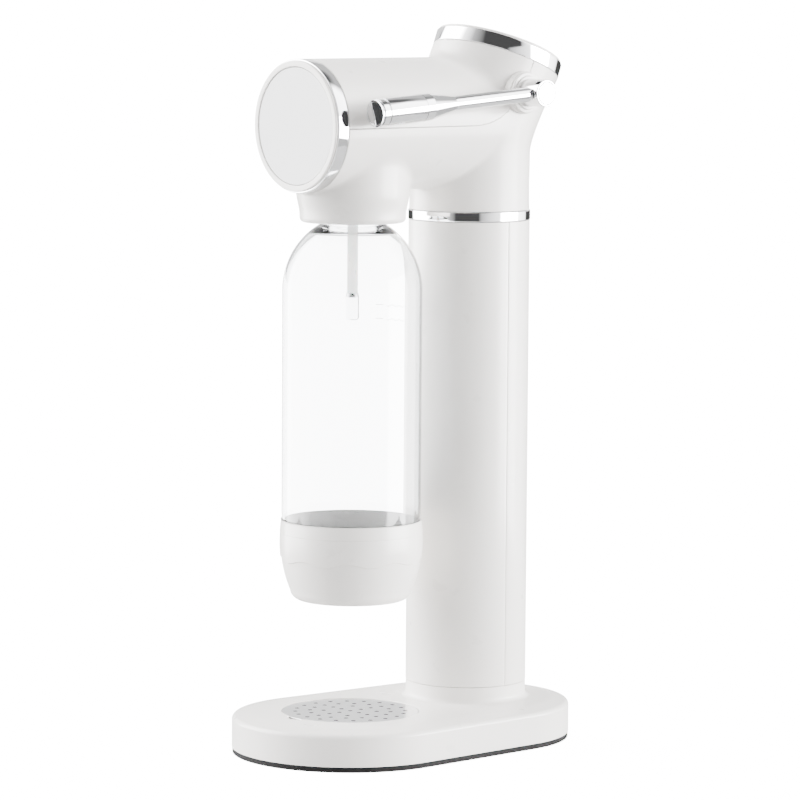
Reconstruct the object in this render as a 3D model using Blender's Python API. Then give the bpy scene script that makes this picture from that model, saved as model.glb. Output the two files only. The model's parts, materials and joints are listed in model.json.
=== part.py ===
"""Countertop soda carbonator: a round column on a long base, a barrel-shaped head with a side lever,
a gas cylinder inside the column, and a clear bottle hanging from a socket under the head.

Metres, +Z up. The origin is on the table under the bottle's axis. -Y is the front, +X the lever side.
"""

import math

import bmesh
import bpy
from mathutils import Matrix, Vector

# General
GAP = 0.0003
WALL = 0.0025
LARGE_STEPS = 36
MIDDLE_STEPS = 24
LEVER_STEPS = 16
SMALL_STEPS = 14
SCREW_STEPS = 8
SCREW_TURN = math.radians(20)

# Base: its outline wraps a front circle and a rear circle
BASE_FRONT_RADIUS = 0.0707
BASE_REAR_RADIUS = 0.0667
BASE_FRONT_Y = -0.0015
FOOT_HEIGHT = 0.0030
BASE_TOP = 0.0250
BASE_SHOULDER = 0.0200
PLATE_THICKNESS = 0.0022
PLATE_FLOOR = 0.0010
TRAY_RADIUS = 0.0415
TRAY_WALL = 0.0015
WELL_WALL = 0.0020
GRILLE_THICKNESS = 0.0010
GRILLE_HOLE_RADIUS = 0.0014
GRILLE_MARGIN = 0.0081
GRILLE_RINGS = ((1, 0.0), (4, 0.2515), (8, 0.4850), (16, 0.7365), (20, 1.0))
NOTCH_RADIUS = 0.0075
NOTCH_DEPTH = 0.0075
POST_RADIUS = 0.0045

# Column, sized to hold the gas cylinder
COLUMN_FOOT_TOP = 0.0350
COLUMN_FLARE = 0.0027
COLUMN_LENGTH = 0.2851
RING_HEIGHT = 0.0059
RING_PROUD = 0.0004
SPINE_THICKNESS = 0.0026
SPINE_HALF_ANGLE = 52.0
SPINE_CLEARANCE = 0.0005
CYLINDER_RADIUS = 0.0300
CYLINDER_CLEARANCE = 0.0015
CYLINDER_WALL = 0.0045
CYLINDER_NECK_RADIUS = 0.0120
SEAT_HEIGHT = 0.0030
BRACKET_THICKNESS = 0.0030

# Head, measured up from the top of the column ring
BARREL_RADIUS = 0.0398
BARREL_RISE = 0.0533
BARREL_FRONT_MARGIN = 0.0033
BARREL_END_SHARE = 0.95
NECK_BEND_RISE = 0.0360
NECK_BEND_KNEE = 0.0160
NECK_TOP_RISE = 0.08975
NECK_TOP_SHIFT = 0.02025
NECK_FLARE = 0.0026
NECK_TILT = math.radians(20.67)
TOP_BAND_HEIGHT = 0.0089
FRONT_BAND_WIDTH = 0.0079
BAND_THICKNESS = 0.0024
BEZEL_WIDTH = 0.0037
BEZEL_PROUD = 0.0013
DISC_THICKNESS = 0.0025
COLLAR_DROP = 0.0051
COLLAR_WALL = 0.0027

# Bottle and its socket; the drops are measured down from the bottle's mouth
BOTTLE_RADIUS = 0.0422
BOTTLE_WALL = 0.0015
BOTTLE_HEIGHT = 0.2480
BOTTLE_SHOULDER_DROP = 0.0635
BOTTLE_NECK_RADIUS = 0.0175
BOTTLE_INSERTION = 0.0227
BOTTLE_COLUMN_GAP = 0.0131
CUP_HEIGHT = 0.0489
CUP_FLOOR = 0.0029
CUP_SWELL = 0.0012
CUP_CORNER = 0.0057
SOCKET_CLEARANCE = 0.0021
SOCKET_WALL = 0.0094
TUBE_RADIUS = 0.0033
TUBE_BORE = 0.0015
TUBE_END_DROP = 0.0651
TIP_RADIUS = 0.0041
TIP_LENGTH = 0.0166

# Lever
SHAFT_BACK = 0.0093
SHAFT_RISE = 0.0721
SHAFT_RADIUS = 0.0040
BUSH_WALL = 0.0020
BUSH_RIGHT_LENGTH = 0.0082
BUSH_LEFT_LENGTH = 0.0062
SHAFT_POST_LENGTH = 0.0085
CLIP_THICKNESS = 0.0010
CLIP_GAP_WIDTH = 0.0060
PAD_RADIUS = 0.0130
PAD_PROUD = 0.0015
BOSS_LENGTH = 0.0025
HUB_RADIUS = 0.00825
HUB_LENGTH = 0.0157
ARM_SLOPE = math.radians(4.47)
ARM_RADIUS = 0.0045
GRIP_RADIUS = 0.00825
ROD_LENGTH = 0.0600
CONE_LENGTH = 0.0195
GRIP_LENGTH = 0.0337
END_CAP_LENGTH = 0.0062
CAM_RADIUS = 0.0071
CAM_DROP = 0.0020
CAM_HALF_WIDTH = 0.0050

# Valve gear above the gas cylinder, measured up from the bracket
BLOCK_RADIUS = 0.0155
BLOCK_FLANGE_RADIUS = 0.0220
BLOCK_FLANGE_THICKNESS = 0.0030
BLOCK_HEIGHT = 0.0287
VALVE_RADIUS = 0.0105
PIN_RADIUS = 0.0018
PLUNGER_RADIUS = 0.0020
PLUNGER_HEAD_RADIUS = 0.0050
PLUNGER_TRAVEL = 0.0037
HOSE_RADIUS = 0.0030
HOSE_SAG = 0.0040
FITTING_RADIUS = 0.0045
FITTING_LENGTH = 0.0100
MANIFOLD_INSET = 0.0036
MANIFOLD_FLANGE = 0.0034
MANIFOLD_HEIGHT = 0.0237
SEAL_HEIGHT = 0.0030

# Places that follow from the sizes above
COLUMN_RADIUS = (CYLINDER_RADIUS + CYLINDER_CLEARANCE + SPINE_THICKNESS + SPINE_CLEARANCE
                 + WALL)
COLUMN_Y = BOTTLE_RADIUS + BOTTLE_COLUMN_GAP + COLUMN_RADIUS
NECK_TOP_RADIUS = COLUMN_RADIUS + NECK_FLARE
REAR_CENTRE_Y = COLUMN_Y - 0.0033
COLUMN_TOP = COLUMN_FOOT_TOP + GAP + COLUMN_LENGTH
COLUMN_BORE = COLUMN_RADIUS - WALL
HEAD_BOTTOM = COLUMN_TOP + RING_HEIGHT + 2 * GAP
BARREL_Z = HEAD_BOTTOM + BARREL_RISE
SHAFT_Y = COLUMN_Y + SHAFT_BACK
SHAFT_Z = HEAD_BOTTOM + SHAFT_RISE
COLLAR_BOTTOM = HEAD_BOTTOM - COLLAR_DROP
SOCKET_INNER = BOTTLE_NECK_RADIUS + SOCKET_CLEARANCE
SOCKET_OUTER = SOCKET_INNER + SOCKET_WALL
COLLAR_RADIUS = SOCKET_OUTER + GAP + COLLAR_WALL
BOTTLE_MOUTH = COLLAR_BOTTOM + BOTTLE_INSERTION
BOTTLE_BOTTOM = BOTTLE_MOUTH - BOTTLE_HEIGHT
BOTTLE_SHOULDER = BOTTLE_MOUTH - BOTTLE_SHOULDER_DROP
CUP_BOTTOM = BOTTLE_BOTTOM - GAP - CUP_FLOOR
CUP_RIM = CUP_BOTTOM + CUP_HEIGHT
TUBE_END = BOTTLE_MOUTH - TUBE_END_DROP
PLATE_BOTTOM = FOOT_HEIGHT + GAP
PLATE_TOP = PLATE_BOTTOM + PLATE_THICKNESS
WELL_FLOOR = PLATE_TOP + PLATE_FLOOR
TRAY_BOTTOM = WELL_FLOOR + WELL_WALL + GAP
GRILLE_TOP = BASE_TOP - 0.0005
TRAY_RIM = GRILLE_TOP - GRILLE_THICKNESS - GAP
SPINE_OUTER = COLUMN_BORE - SPINE_CLEARANCE
GRILLE_PATTERN_RADIUS = TRAY_RADIUS - GRILLE_MARGIN
CYLINDER_BOTTOM = PLATE_TOP + SEAT_HEIGHT + 2 * GAP
BRACKET_BOTTOM = HEAD_BOTTOM + 0.0164
BRACKET_TOP = BRACKET_BOTTOM + BRACKET_THICKNESS
BLOCK_BOTTOM = BRACKET_BOTTOM - 0.0013
BLOCK_TOP = BLOCK_BOTTOM + BLOCK_HEIGHT + 0.0013
VALVE_TOP = BLOCK_BOTTOM + 0.0100
PORT_Z = BLOCK_BOTTOM + 0.0200
PLUNGER_TOP = SHAFT_Z - CAM_DROP - CAM_RADIUS - GAP
BUSH_OUTER = SHAFT_RADIUS + GAP + BUSH_WALL
SOCKET_TOP = BOTTLE_MOUTH + 0.0015
SEAL_BOTTOM = BOTTLE_MOUTH + 0.0005
MANIFOLD_BOTTOM = SEAL_BOTTOM + SEAL_HEIGHT + GAP
MANIFOLD_TOP = MANIFOLD_BOTTOM + MANIFOLD_HEIGHT
MANIFOLD_RADIUS = SOCKET_INNER - MANIFOLD_INSET
TUBE_TOP = MANIFOLD_BOTTOM + 0.0060
BARREL_FRONT_Y = -(COLLAR_RADIUS + BARREL_FRONT_MARGIN)
BARREL_BLEND_Y = COLUMN_Y - 0.0324
BARREL_END_Y = COLUMN_Y + 0.0056
PAD_FACE_X = NECK_TOP_RADIUS + PAD_PROUD
BUSH_RIGHT_X = PAD_FACE_X - BUSH_RIGHT_LENGTH
SHAFT_POST_X = -(NECK_TOP_RADIUS - 0.0022)
SHAFT_POST_FLOOR_X = SHAFT_POST_X + 0.0020
HUB_INNER_X = PAD_FACE_X + GAP + BOSS_LENGTH + GAP
HUB_OUTER_X = HUB_INNER_X + HUB_LENGTH
ARM_X = HUB_OUTER_X - 0.0075

# Colours, as red, green, blue
WARM_WHITE = (0.86, 0.85, 0.83)
INNER_WHITE = (0.80, 0.80, 0.80)
DISC_GREY = (0.74, 0.74, 0.75)
CHROME = (0.80, 0.80, 0.82)
STEEL = (0.62, 0.62, 0.63)
BRASS = (0.78, 0.60, 0.30)
RUBBER = (0.03, 0.03, 0.03)
CLEAR = (0.92, 0.95, 0.96)
HOSE_BLUE = (0.55, 0.65, 0.78)
CYLINDER_BLUE = (0.30, 0.42, 0.62)
NYLON = (0.88, 0.88, 0.86)


def clear_scene():
    for old in list(bpy.data.objects):
        bpy.data.objects.remove(old)


def material(name, colour, roughness=0.4, metallic=0.0):
    made = bpy.data.materials.new(name)
    made.use_nodes = True
    shader = made.node_tree.nodes["Principled BSDF"]
    shader.inputs["Base Color"].default_value = (*colour, 1.0)
    shader.inputs["Roughness"].default_value = roughness
    shader.inputs["Metallic"].default_value = metallic
    return made


def place(name, bm, finish, centre=(0, 0, 0), turn=None, moves_on=None):
    """Makes an object of a bmesh. A turn is (axis letter, angle); moves_on is the empty it hangs from."""
    bmesh.ops.remove_doubles(bm, verts=bm.verts, dist=1e-6)
    bmesh.ops.recalc_face_normals(bm, faces=bm.faces)
    if bm.calc_volume(signed=True) < 0:
        bmesh.ops.reverse_faces(bm, faces=bm.faces)
    mesh = bpy.data.meshes.new(name)
    bm.to_mesh(mesh)
    bm.free()
    mesh.shade_smooth()
    mesh.set_sharp_from_angle(angle=math.radians(35))
    made = bpy.data.objects.new(name, mesh)
    bpy.context.collection.objects.link(made)
    made.location = Vector(centre)
    if turn:
        made.rotation_euler = Matrix.Rotation(turn[1], 3, turn[0]).to_euler()
    if finish is None:
        made.hide_render = True
        made.display_type = "WIRE"
    else:
        mesh.materials.append(material(name, *finish))
    if moves_on:
        made.parent = moves_on
        made.location = Vector(centre) - moves_on.location
    return made


def turned(name, profile, finish, centre=(0, 0, 0), turn=None, steps=LARGE_STEPS, **more):
    """A closed outline of (radius, height) points spun about +Z."""
    bm = bmesh.new()
    points = [bm.verts.new((radius, 0, height)) for radius, height in profile]
    edges = [bm.edges.new((a, b)) for a, b in zip(points, points[1:] + points[:1])
             if a.co.x > 0 or b.co.x > 0]
    bmesh.ops.spin(bm, geom=points + edges, axis=(0, 0, 1), cent=(0, 0, 0), dvec=(0, 0, 0),
                   angle=2 * math.pi, steps=steps, use_merge=True)
    return place(name, bm, finish, centre, turn, **more)


def rod(name, radius, low, high, finish, **more):
    return turned(name, [(0, high), (radius, high), (radius, low), (0, low)], finish, **more)


def sleeve(name, inner, outer, low, high, finish, **more):
    profile = [(outer, high), (outer, low), (inner, low), (inner, high)]
    return turned(name, profile, finish, **more)


def lofted(name, sections, finish, **more):
    """Bridges equal rings of points and closes both ends."""
    bm = bmesh.new()
    rings = [[bm.verts.new(point) for point in section] for section in sections]
    loops = [[bm.edges.new((a, b)) for a, b in zip(ring, ring[1:] + ring[:1])] for ring in rings]
    for lower, upper in zip(loops, loops[1:]):
        bmesh.ops.bridge_loops(bm, edges=lower + upper)
    bm.faces.new(rings[0])
    bm.faces.new(rings[-1])
    return place(name, bm, finish, **more)


def block(name, low, high, finish):
    bm = bmesh.new()
    bmesh.ops.create_cube(bm, size=1)
    low, high = Vector(low), Vector(high)
    bmesh.ops.scale(bm, vec=high - low, verts=bm.verts)
    bmesh.ops.translate(bm, vec=(low + high) / 2, verts=bm.verts)
    return place(name, bm, finish)


def boolean(target, tool, operation="DIFFERENCE"):
    modifier = target.modifiers.new(f"{operation.title()} {tool.name}", "BOOLEAN")
    modifier.operation = operation
    modifier.object = tool
    modifier.solver = "EXACT"


def drill(target, radius, low, high, centre=(0, 0, 0), turn=None, steps=SMALL_STEPS):
    """Cuts a round hole along +Z, or along the turned axis."""
    name = f"{target.name}_hole_{len(target.modifiers)}"
    boolean(target, rod(name, radius, low, high, None, centre=centre, turn=turn, steps=steps))


def wrapped_outline(first, first_radius, second, second_radius, steps):
    """The taut outline round two circles, second above first, as (x, y) points."""
    span = (Vector(second) - Vector(first)).length
    lean = math.asin((first_radius - second_radius) / span)
    points = []
    for centre, radius, start, sweep in ((second, second_radius, lean, math.pi - 2 * lean),
                                         (first, first_radius, math.pi - lean, math.pi + 2 * lean)):
        for step in range(steps + 1):
            angle = start + sweep * step / steps
            points.append((centre[0] + radius * math.cos(angle), centre[1] + radius * math.sin(angle)))
    return points


def base_ring(inset, height):
    outline = wrapped_outline((0, BASE_FRONT_Y), BASE_FRONT_RADIUS - inset,
                              (0, REAR_CENTRE_Y), BASE_REAR_RADIUS - inset, LARGE_STEPS // 2)
    return [(x, y, height) for x, y in outline]


def coil(name, wire, radius, length, turns, finish, centre=(0, 0, 0), turn=None):
    """A closed helical wire along +Z."""
    curve = bpy.data.curves.new(name, "CURVE")
    curve.dimensions = "3D"
    curve.bevel_depth = wire
    curve.bevel_resolution = 0
    curve.use_fill_caps = True
    spline = curve.splines.new("POLY")
    count = turns * 9
    spline.points.add(count)
    for step, point in enumerate(spline.points):
        angle = 2 * math.pi * turns * step / count
        height = length * step / count
        point.co = (radius * math.cos(angle), radius * math.sin(angle), height, 1)
    made = bpy.data.objects.new(name, curve)
    bpy.context.collection.objects.link(made)
    made.location = centre
    if turn:
        made.rotation_euler = Matrix.Rotation(turn[1], 3, turn[0]).to_euler()
    curve.materials.append(material(name, *finish))
    return made


def joint_origin(name, location):
    origin = bpy.data.objects.new(name, None)
    bpy.context.collection.objects.link(origin)
    origin.location = location
    return origin


def screw_places():
    """Where the base screws stand: two beside the tray well, two behind the column."""
    front = 0.5 * (TRAY_RADIUS + GAP + WELL_WALL + BASE_FRONT_RADIUS - WALL)
    rear = 0.5 * (COLUMN_BORE + COLUMN_FLARE + BASE_REAR_RADIUS)
    ahead, behind = math.radians(-35), math.radians(50)
    places = []
    for side in (-1, 1):
        places.append((side * front * math.cos(ahead), front * math.sin(ahead)))
        places.append((side * rear * math.cos(behind), COLUMN_Y + rear * math.sin(behind)))
    return places


def make_base():
    white, rubber = (WARM_WHITE, 0.3), (RUBBER, 0.7)
    pad = lofted("foot_pad", [base_ring(GAP, 0), base_ring(GAP, FOOT_HEIGHT)], rubber)
    inner = WALL + GAP
    plate = lofted("base_plate", [base_ring(inner, PLATE_BOTTOM), base_ring(inner, PLATE_TOP)],
                   (STEEL, 0.5, 0.6))
    shell = lofted("base_shell", [
        base_ring(0, PLATE_BOTTOM), base_ring(0, BASE_SHOULDER),
        base_ring(0.0006, BASE_SHOULDER + 0.0015), base_ring(0.0025, BASE_SHOULDER + 0.0026),
        base_ring(0.0120, BASE_TOP - 0.0004), base_ring(0.0180, BASE_TOP)], white)
    foot = turned("column_foot", [
        (0, COLUMN_FOOT_TOP), (COLUMN_RADIUS, COLUMN_FOOT_TOP),
        (COLUMN_RADIUS + 0.0004, BASE_TOP + 0.0036), (COLUMN_RADIUS + COLUMN_FLARE, BASE_TOP),
        (COLUMN_RADIUS + COLUMN_FLARE, BASE_TOP - 0.0010), (0, BASE_TOP - 0.0010)],
        None, centre=(0, COLUMN_Y, 0))
    boolean(shell, foot, "UNION")
    roof = BASE_TOP - WALL
    hollow = lofted("base_hollow", [base_ring(WALL, 0), base_ring(WALL, BASE_SHOULDER - 0.0010),
                                    base_ring(0.0060, roof - 0.0006)], None)
    boolean(shell, hollow)
    well = TRAY_RADIUS + GAP
    boolean(shell, rod("well_cup", well + WELL_WALL, WELL_FLOOR, roof + 0.0005, None), "UNION")
    notch_y = -(well - NOTCH_RADIUS + 0.0050)
    boolean(shell, rod("notch_cup", NOTCH_RADIUS + WELL_WALL, BASE_TOP - NOTCH_DEPTH - WELL_WALL,
                       roof + 0.0005, None, centre=(0, notch_y, 0), steps=SMALL_STEPS), "UNION")
    posts = screw_places()
    for number, (x, y) in enumerate(posts, 1):
        post = rod(f"post_{number}", POST_RADIUS, PLATE_TOP + GAP, roof + 0.0003, None,
                   centre=(x, y, 0), steps=SMALL_STEPS)
        boolean(shell, post, "UNION")
    drill(shell, well, TRAY_BOTTOM - GAP, 0.1, steps=LARGE_STEPS)
    drill(shell, NOTCH_RADIUS, BASE_TOP - NOTCH_DEPTH, 0.1, centre=(0, notch_y, 0))
    drill(shell, COLUMN_BORE, 0.001, 0.1, centre=(0, COLUMN_Y, 0), steps=LARGE_STEPS)
    shank = 0.0014
    for number, (x, y) in enumerate(posts, 1):
        drill(shell, shank + GAP, 0.001, 0.0140, centre=(x, y, 0), steps=SCREW_STEPS)
        drill(plate, shank + GAP, 0.001, 0.0140, centre=(x, y, 0), steps=SCREW_STEPS)
        drill(pad, 0.0040, -0.001, 0.0100, centre=(x, y, 0), steps=SCREW_STEPS)
        turned(f"base_screw_{number}", [(0, 0.0130), (shank, 0.0130), (shank, FOOT_HEIGHT),
                                        (0.0030, FOOT_HEIGHT), (0.0030, 0.0010), (0, 0.0010)],
               (STEEL, 0.3, 1.0), centre=(x, y, 0), steps=SCREW_STEPS)


def make_tray():
    tray_travel = joint_origin("drip_tray_travel", (0, 0, TRAY_BOTTOM))
    floor = TRAY_BOTTOM + TRAY_WALL
    turned("drip_tray", [(0, TRAY_BOTTOM), (0, floor), (TRAY_RADIUS - TRAY_WALL, floor),
                         (TRAY_RADIUS - TRAY_WALL, TRAY_RIM), (TRAY_RADIUS, TRAY_RIM),
                         (TRAY_RADIUS, TRAY_BOTTOM)], (INNER_WHITE, 0.4), moves_on=tray_travel)
    grille = rod("drip_grille", TRAY_RADIUS, GRILLE_TOP - GRILLE_THICKNESS, GRILLE_TOP,
                 (STEEL, 0.3, 1.0), moves_on=tray_travel)
    bm = bmesh.new()
    for count, share in GRILLE_RINGS:
        for number in range(count):
            angle = 2 * math.pi * number / count
            reach = share * GRILLE_PATTERN_RADIUS
            spot = Matrix.Translation((reach * math.cos(angle), reach * math.sin(angle), BASE_TOP))
            bmesh.ops.create_cone(bm, cap_ends=True, segments=6, radius1=GRILLE_HOLE_RADIUS,
                                  radius2=GRILLE_HOLE_RADIUS, depth=0.0200, matrix=spot)
    boolean(grille, place("grille_holes", bm, None))


def half_tube(name, inner, outer, low, high, finish, front, **more):
    """One half of the column's tube, split on the plane through its axis."""
    bm = bmesh.new()
    points = [bm.verts.new((radius, 0, height)) for radius, height in
              ((outer, high), (outer, low), (inner, low), (inner, high))]
    edges = [bm.edges.new((a, b)) for a, b in zip(points, points[1:] + points[:1])]
    bmesh.ops.spin(bm, geom=points + edges, axis=(0, 0, 1), cent=(0, 0, 0), dvec=(0, 0, 0),
                   angle=2 * math.pi, steps=LARGE_STEPS, use_merge=True)
    side = -1 if front else 1
    bmesh.ops.bisect_plane(bm, geom=bm.verts[:] + bm.edges[:] + bm.faces[:],
                           plane_co=(0, side * GAP / 2, 0), plane_no=(0, side, 0), clear_inner=True)
    bmesh.ops.holes_fill(bm, edges=[edge for edge in bm.edges if edge.is_boundary])
    return place(name, bm, finish, **more)


def make_column():
    white = (WARM_WHITE, 0.3)
    axis = (0, COLUMN_Y, 0)
    low = COLUMN_FOOT_TOP + GAP
    half_tube("column_shell", COLUMN_BORE, COLUMN_RADIUS, low, COLUMN_TOP, white, True, centre=axis)
    cover_travel = joint_origin("rear_cover_travel", axis)
    half_tube("rear_cover", COLUMN_BORE, COLUMN_RADIUS, low, COLUMN_TOP, white, False,
              centre=axis, moves_on=cover_travel)
    sleeve("column_ring", COLUMN_BORE, COLUMN_RADIUS + RING_PROUD, COLUMN_TOP + GAP,
           HEAD_BOTTOM - GAP, (CHROME, 0.08, 1.0), centre=axis)
    spine_inner = SPINE_OUTER - SPINE_THICKNESS
    spine = sleeve("spine_frame", spine_inner, SPINE_OUTER, PLATE_TOP + GAP, BRACKET_BOTTOM - GAP,
                   (INNER_WHITE, 0.5), centre=axis)
    reach = 0.1
    half = math.radians(SPINE_HALF_ANGLE)
    wedge = [(0, 0), (reach * math.sin(half), -reach * math.cos(half)), (reach, -2 * reach),
             (-reach, -2 * reach), (-reach * math.sin(half), -reach * math.cos(half))]
    keep = lofted("spine_wedge", [[(x, y, 0) for x, y in wedge], [(x, y, 0.5) for x, y in wedge]],
                  None, centre=axis)
    boolean(spine, keep, "INTERSECT")


def make_gas_cylinder():
    axis = (0, COLUMN_Y, 0)
    rod("cylinder_seat", CYLINDER_RADIUS - 0.0010, PLATE_TOP + GAP, PLATE_TOP + GAP + SEAT_HEIGHT,
        (RUBBER, 0.8), centre=axis)
    neck_top = BLOCK_BOTTOM - 0.0110
    shoulder = neck_top - 0.0350
    rise = 0.0250
    outer = [(CYLINDER_RADIUS - 0.0040, CYLINDER_BOTTOM), (CYLINDER_RADIUS, CYLINDER_BOTTOM + 0.0040)]
    narrow = CYLINDER_RADIUS - CYLINDER_NECK_RADIUS
    for step in range(6):
        angle = math.pi / 2 * step / 5
        outer.append((CYLINDER_NECK_RADIUS + narrow * math.cos(angle), shoulder + rise * math.sin(angle)))
    outer.append((CYLINDER_NECK_RADIUS, neck_top))
    bore = 0.0060
    inner_radius = CYLINDER_RADIUS - CYLINDER_WALL
    inner = [(bore, neck_top), (bore, shoulder + rise - CYLINDER_WALL),
             (inner_radius * 0.75, shoulder + rise * 0.5), (inner_radius, shoulder),
             (inner_radius, CYLINDER_BOTTOM + CYLINDER_WALL), (0, CYLINDER_BOTTOM + CYLINDER_WALL),
             (0, CYLINDER_BOTTOM)]
    turned("co2_cylinder", outer + inner, (CYLINDER_BLUE, 0.35, 0.4), centre=axis, steps=MIDDLE_STEPS)
    pin_floor = VALVE_TOP - 0.0135
    stem = bore - GAP
    turned("cylinder_valve", [
        (PIN_RADIUS + GAP, VALVE_TOP), (PIN_RADIUS + GAP, pin_floor), (0, pin_floor),
        (0, neck_top - 0.0080), (stem, neck_top - 0.0080), (stem, neck_top + GAP),
        (CYLINDER_NECK_RADIUS, neck_top + GAP), (CYLINDER_NECK_RADIUS, BLOCK_BOTTOM - 0.0010),
        (VALVE_RADIUS, BLOCK_BOTTOM - 0.0010), (VALVE_RADIUS, VALVE_TOP)],
        (BRASS, 0.3, 1.0), centre=axis, steps=SMALL_STEPS)
    pin_travel = joint_origin("valve_pin_travel", (0, COLUMN_Y, VALVE_TOP))
    rod("valve_pin", PIN_RADIUS, pin_floor + PLUNGER_TRAVEL + 0.0010, VALVE_TOP + 0.0005,
        (STEEL, 0.3, 1.0), centre=axis, steps=SCREW_STEPS, moves_on=pin_travel)


def make_valve_gear():
    axis = (0, COLUMN_Y, 0)
    bracket = sleeve("valve_bracket", BLOCK_RADIUS + GAP, COLUMN_BORE - 0.0004, BRACKET_BOTTOM,
                     BRACKET_TOP, (STEEL, 0.4, 1.0), centre=axis, steps=MIDDLE_STEPS)
    flange_low = BRACKET_TOP + GAP
    flange_high = flange_low + BLOCK_FLANGE_THICKNESS
    socket = VALVE_RADIUS + GAP
    roof = VALVE_TOP + 0.0018
    plunger_bore = PLUNGER_RADIUS + GAP
    valve_block = turned("valve_block", [
        (plunger_bore, BLOCK_TOP), (plunger_bore, roof), (socket, roof), (socket, BLOCK_BOTTOM),
        (BLOCK_RADIUS, BLOCK_BOTTOM), (BLOCK_RADIUS, flange_low), (BLOCK_FLANGE_RADIUS, flange_low),
        (BLOCK_FLANGE_RADIUS, flange_high), (BLOCK_RADIUS, flange_high), (BLOCK_RADIUS, BLOCK_TOP)],
        (BRASS, 0.35, 1.0), centre=axis, steps=MIDDLE_STEPS)
    sleeve("block_seal", PIN_RADIUS + 0.0010, VALVE_RADIUS - 0.0010, VALVE_TOP + GAP, roof - GAP,
           (RUBBER, 0.7), centre=axis, steps=SMALL_STEPS)
    shank = 0.0012
    offset = (BLOCK_RADIUS + BLOCK_FLANGE_RADIUS) / 2
    for number, side in enumerate((-1, 1), 1):
        spot = (side * offset * math.cos(SCREW_TURN), COLUMN_Y + side * offset * math.sin(SCREW_TURN), 0)
        for plate in (bracket, valve_block):
            drill(plate, shank + GAP, BRACKET_BOTTOM - 0.001, flange_high + 0.001, centre=spot,
                  steps=SCREW_STEPS)
        turned(f"valve_screw_{number}", [
            (0, flange_high + 0.0020), (0.0024, flange_high + 0.0020), (0.0024, flange_high + GAP),
            (shank, flange_high + GAP), (shank, BRACKET_BOTTOM + 0.0005),
            (0, BRACKET_BOTTOM + 0.0005)], (STEEL, 0.3, 1.0), centre=spot, steps=SCREW_STEPS)
    plunger_travel = joint_origin("plunger_travel", (0, COLUMN_Y, PLUNGER_TOP))
    head_low = PLUNGER_TOP - 0.0035
    turned("plunger", [
        (0, PLUNGER_TOP), (PLUNGER_HEAD_RADIUS, PLUNGER_TOP), (PLUNGER_HEAD_RADIUS, head_low),
        (PLUNGER_RADIUS, head_low), (PLUNGER_RADIUS, VALVE_TOP + 0.0005 + GAP),
        (0, VALVE_TOP + 0.0005 + GAP)], (STEEL, 0.3, 1.0), centre=axis, steps=SMALL_STEPS,
        moves_on=plunger_travel)
    wire = 0.0005
    low = BLOCK_TOP + wire + GAP
    coil("plunger_spring", wire, PLUNGER_RADIUS + 0.0014, head_low - wire - GAP - low, 4,
         (STEEL, 0.25, 1.0), centre=(0, COLUMN_Y, low))


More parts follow.
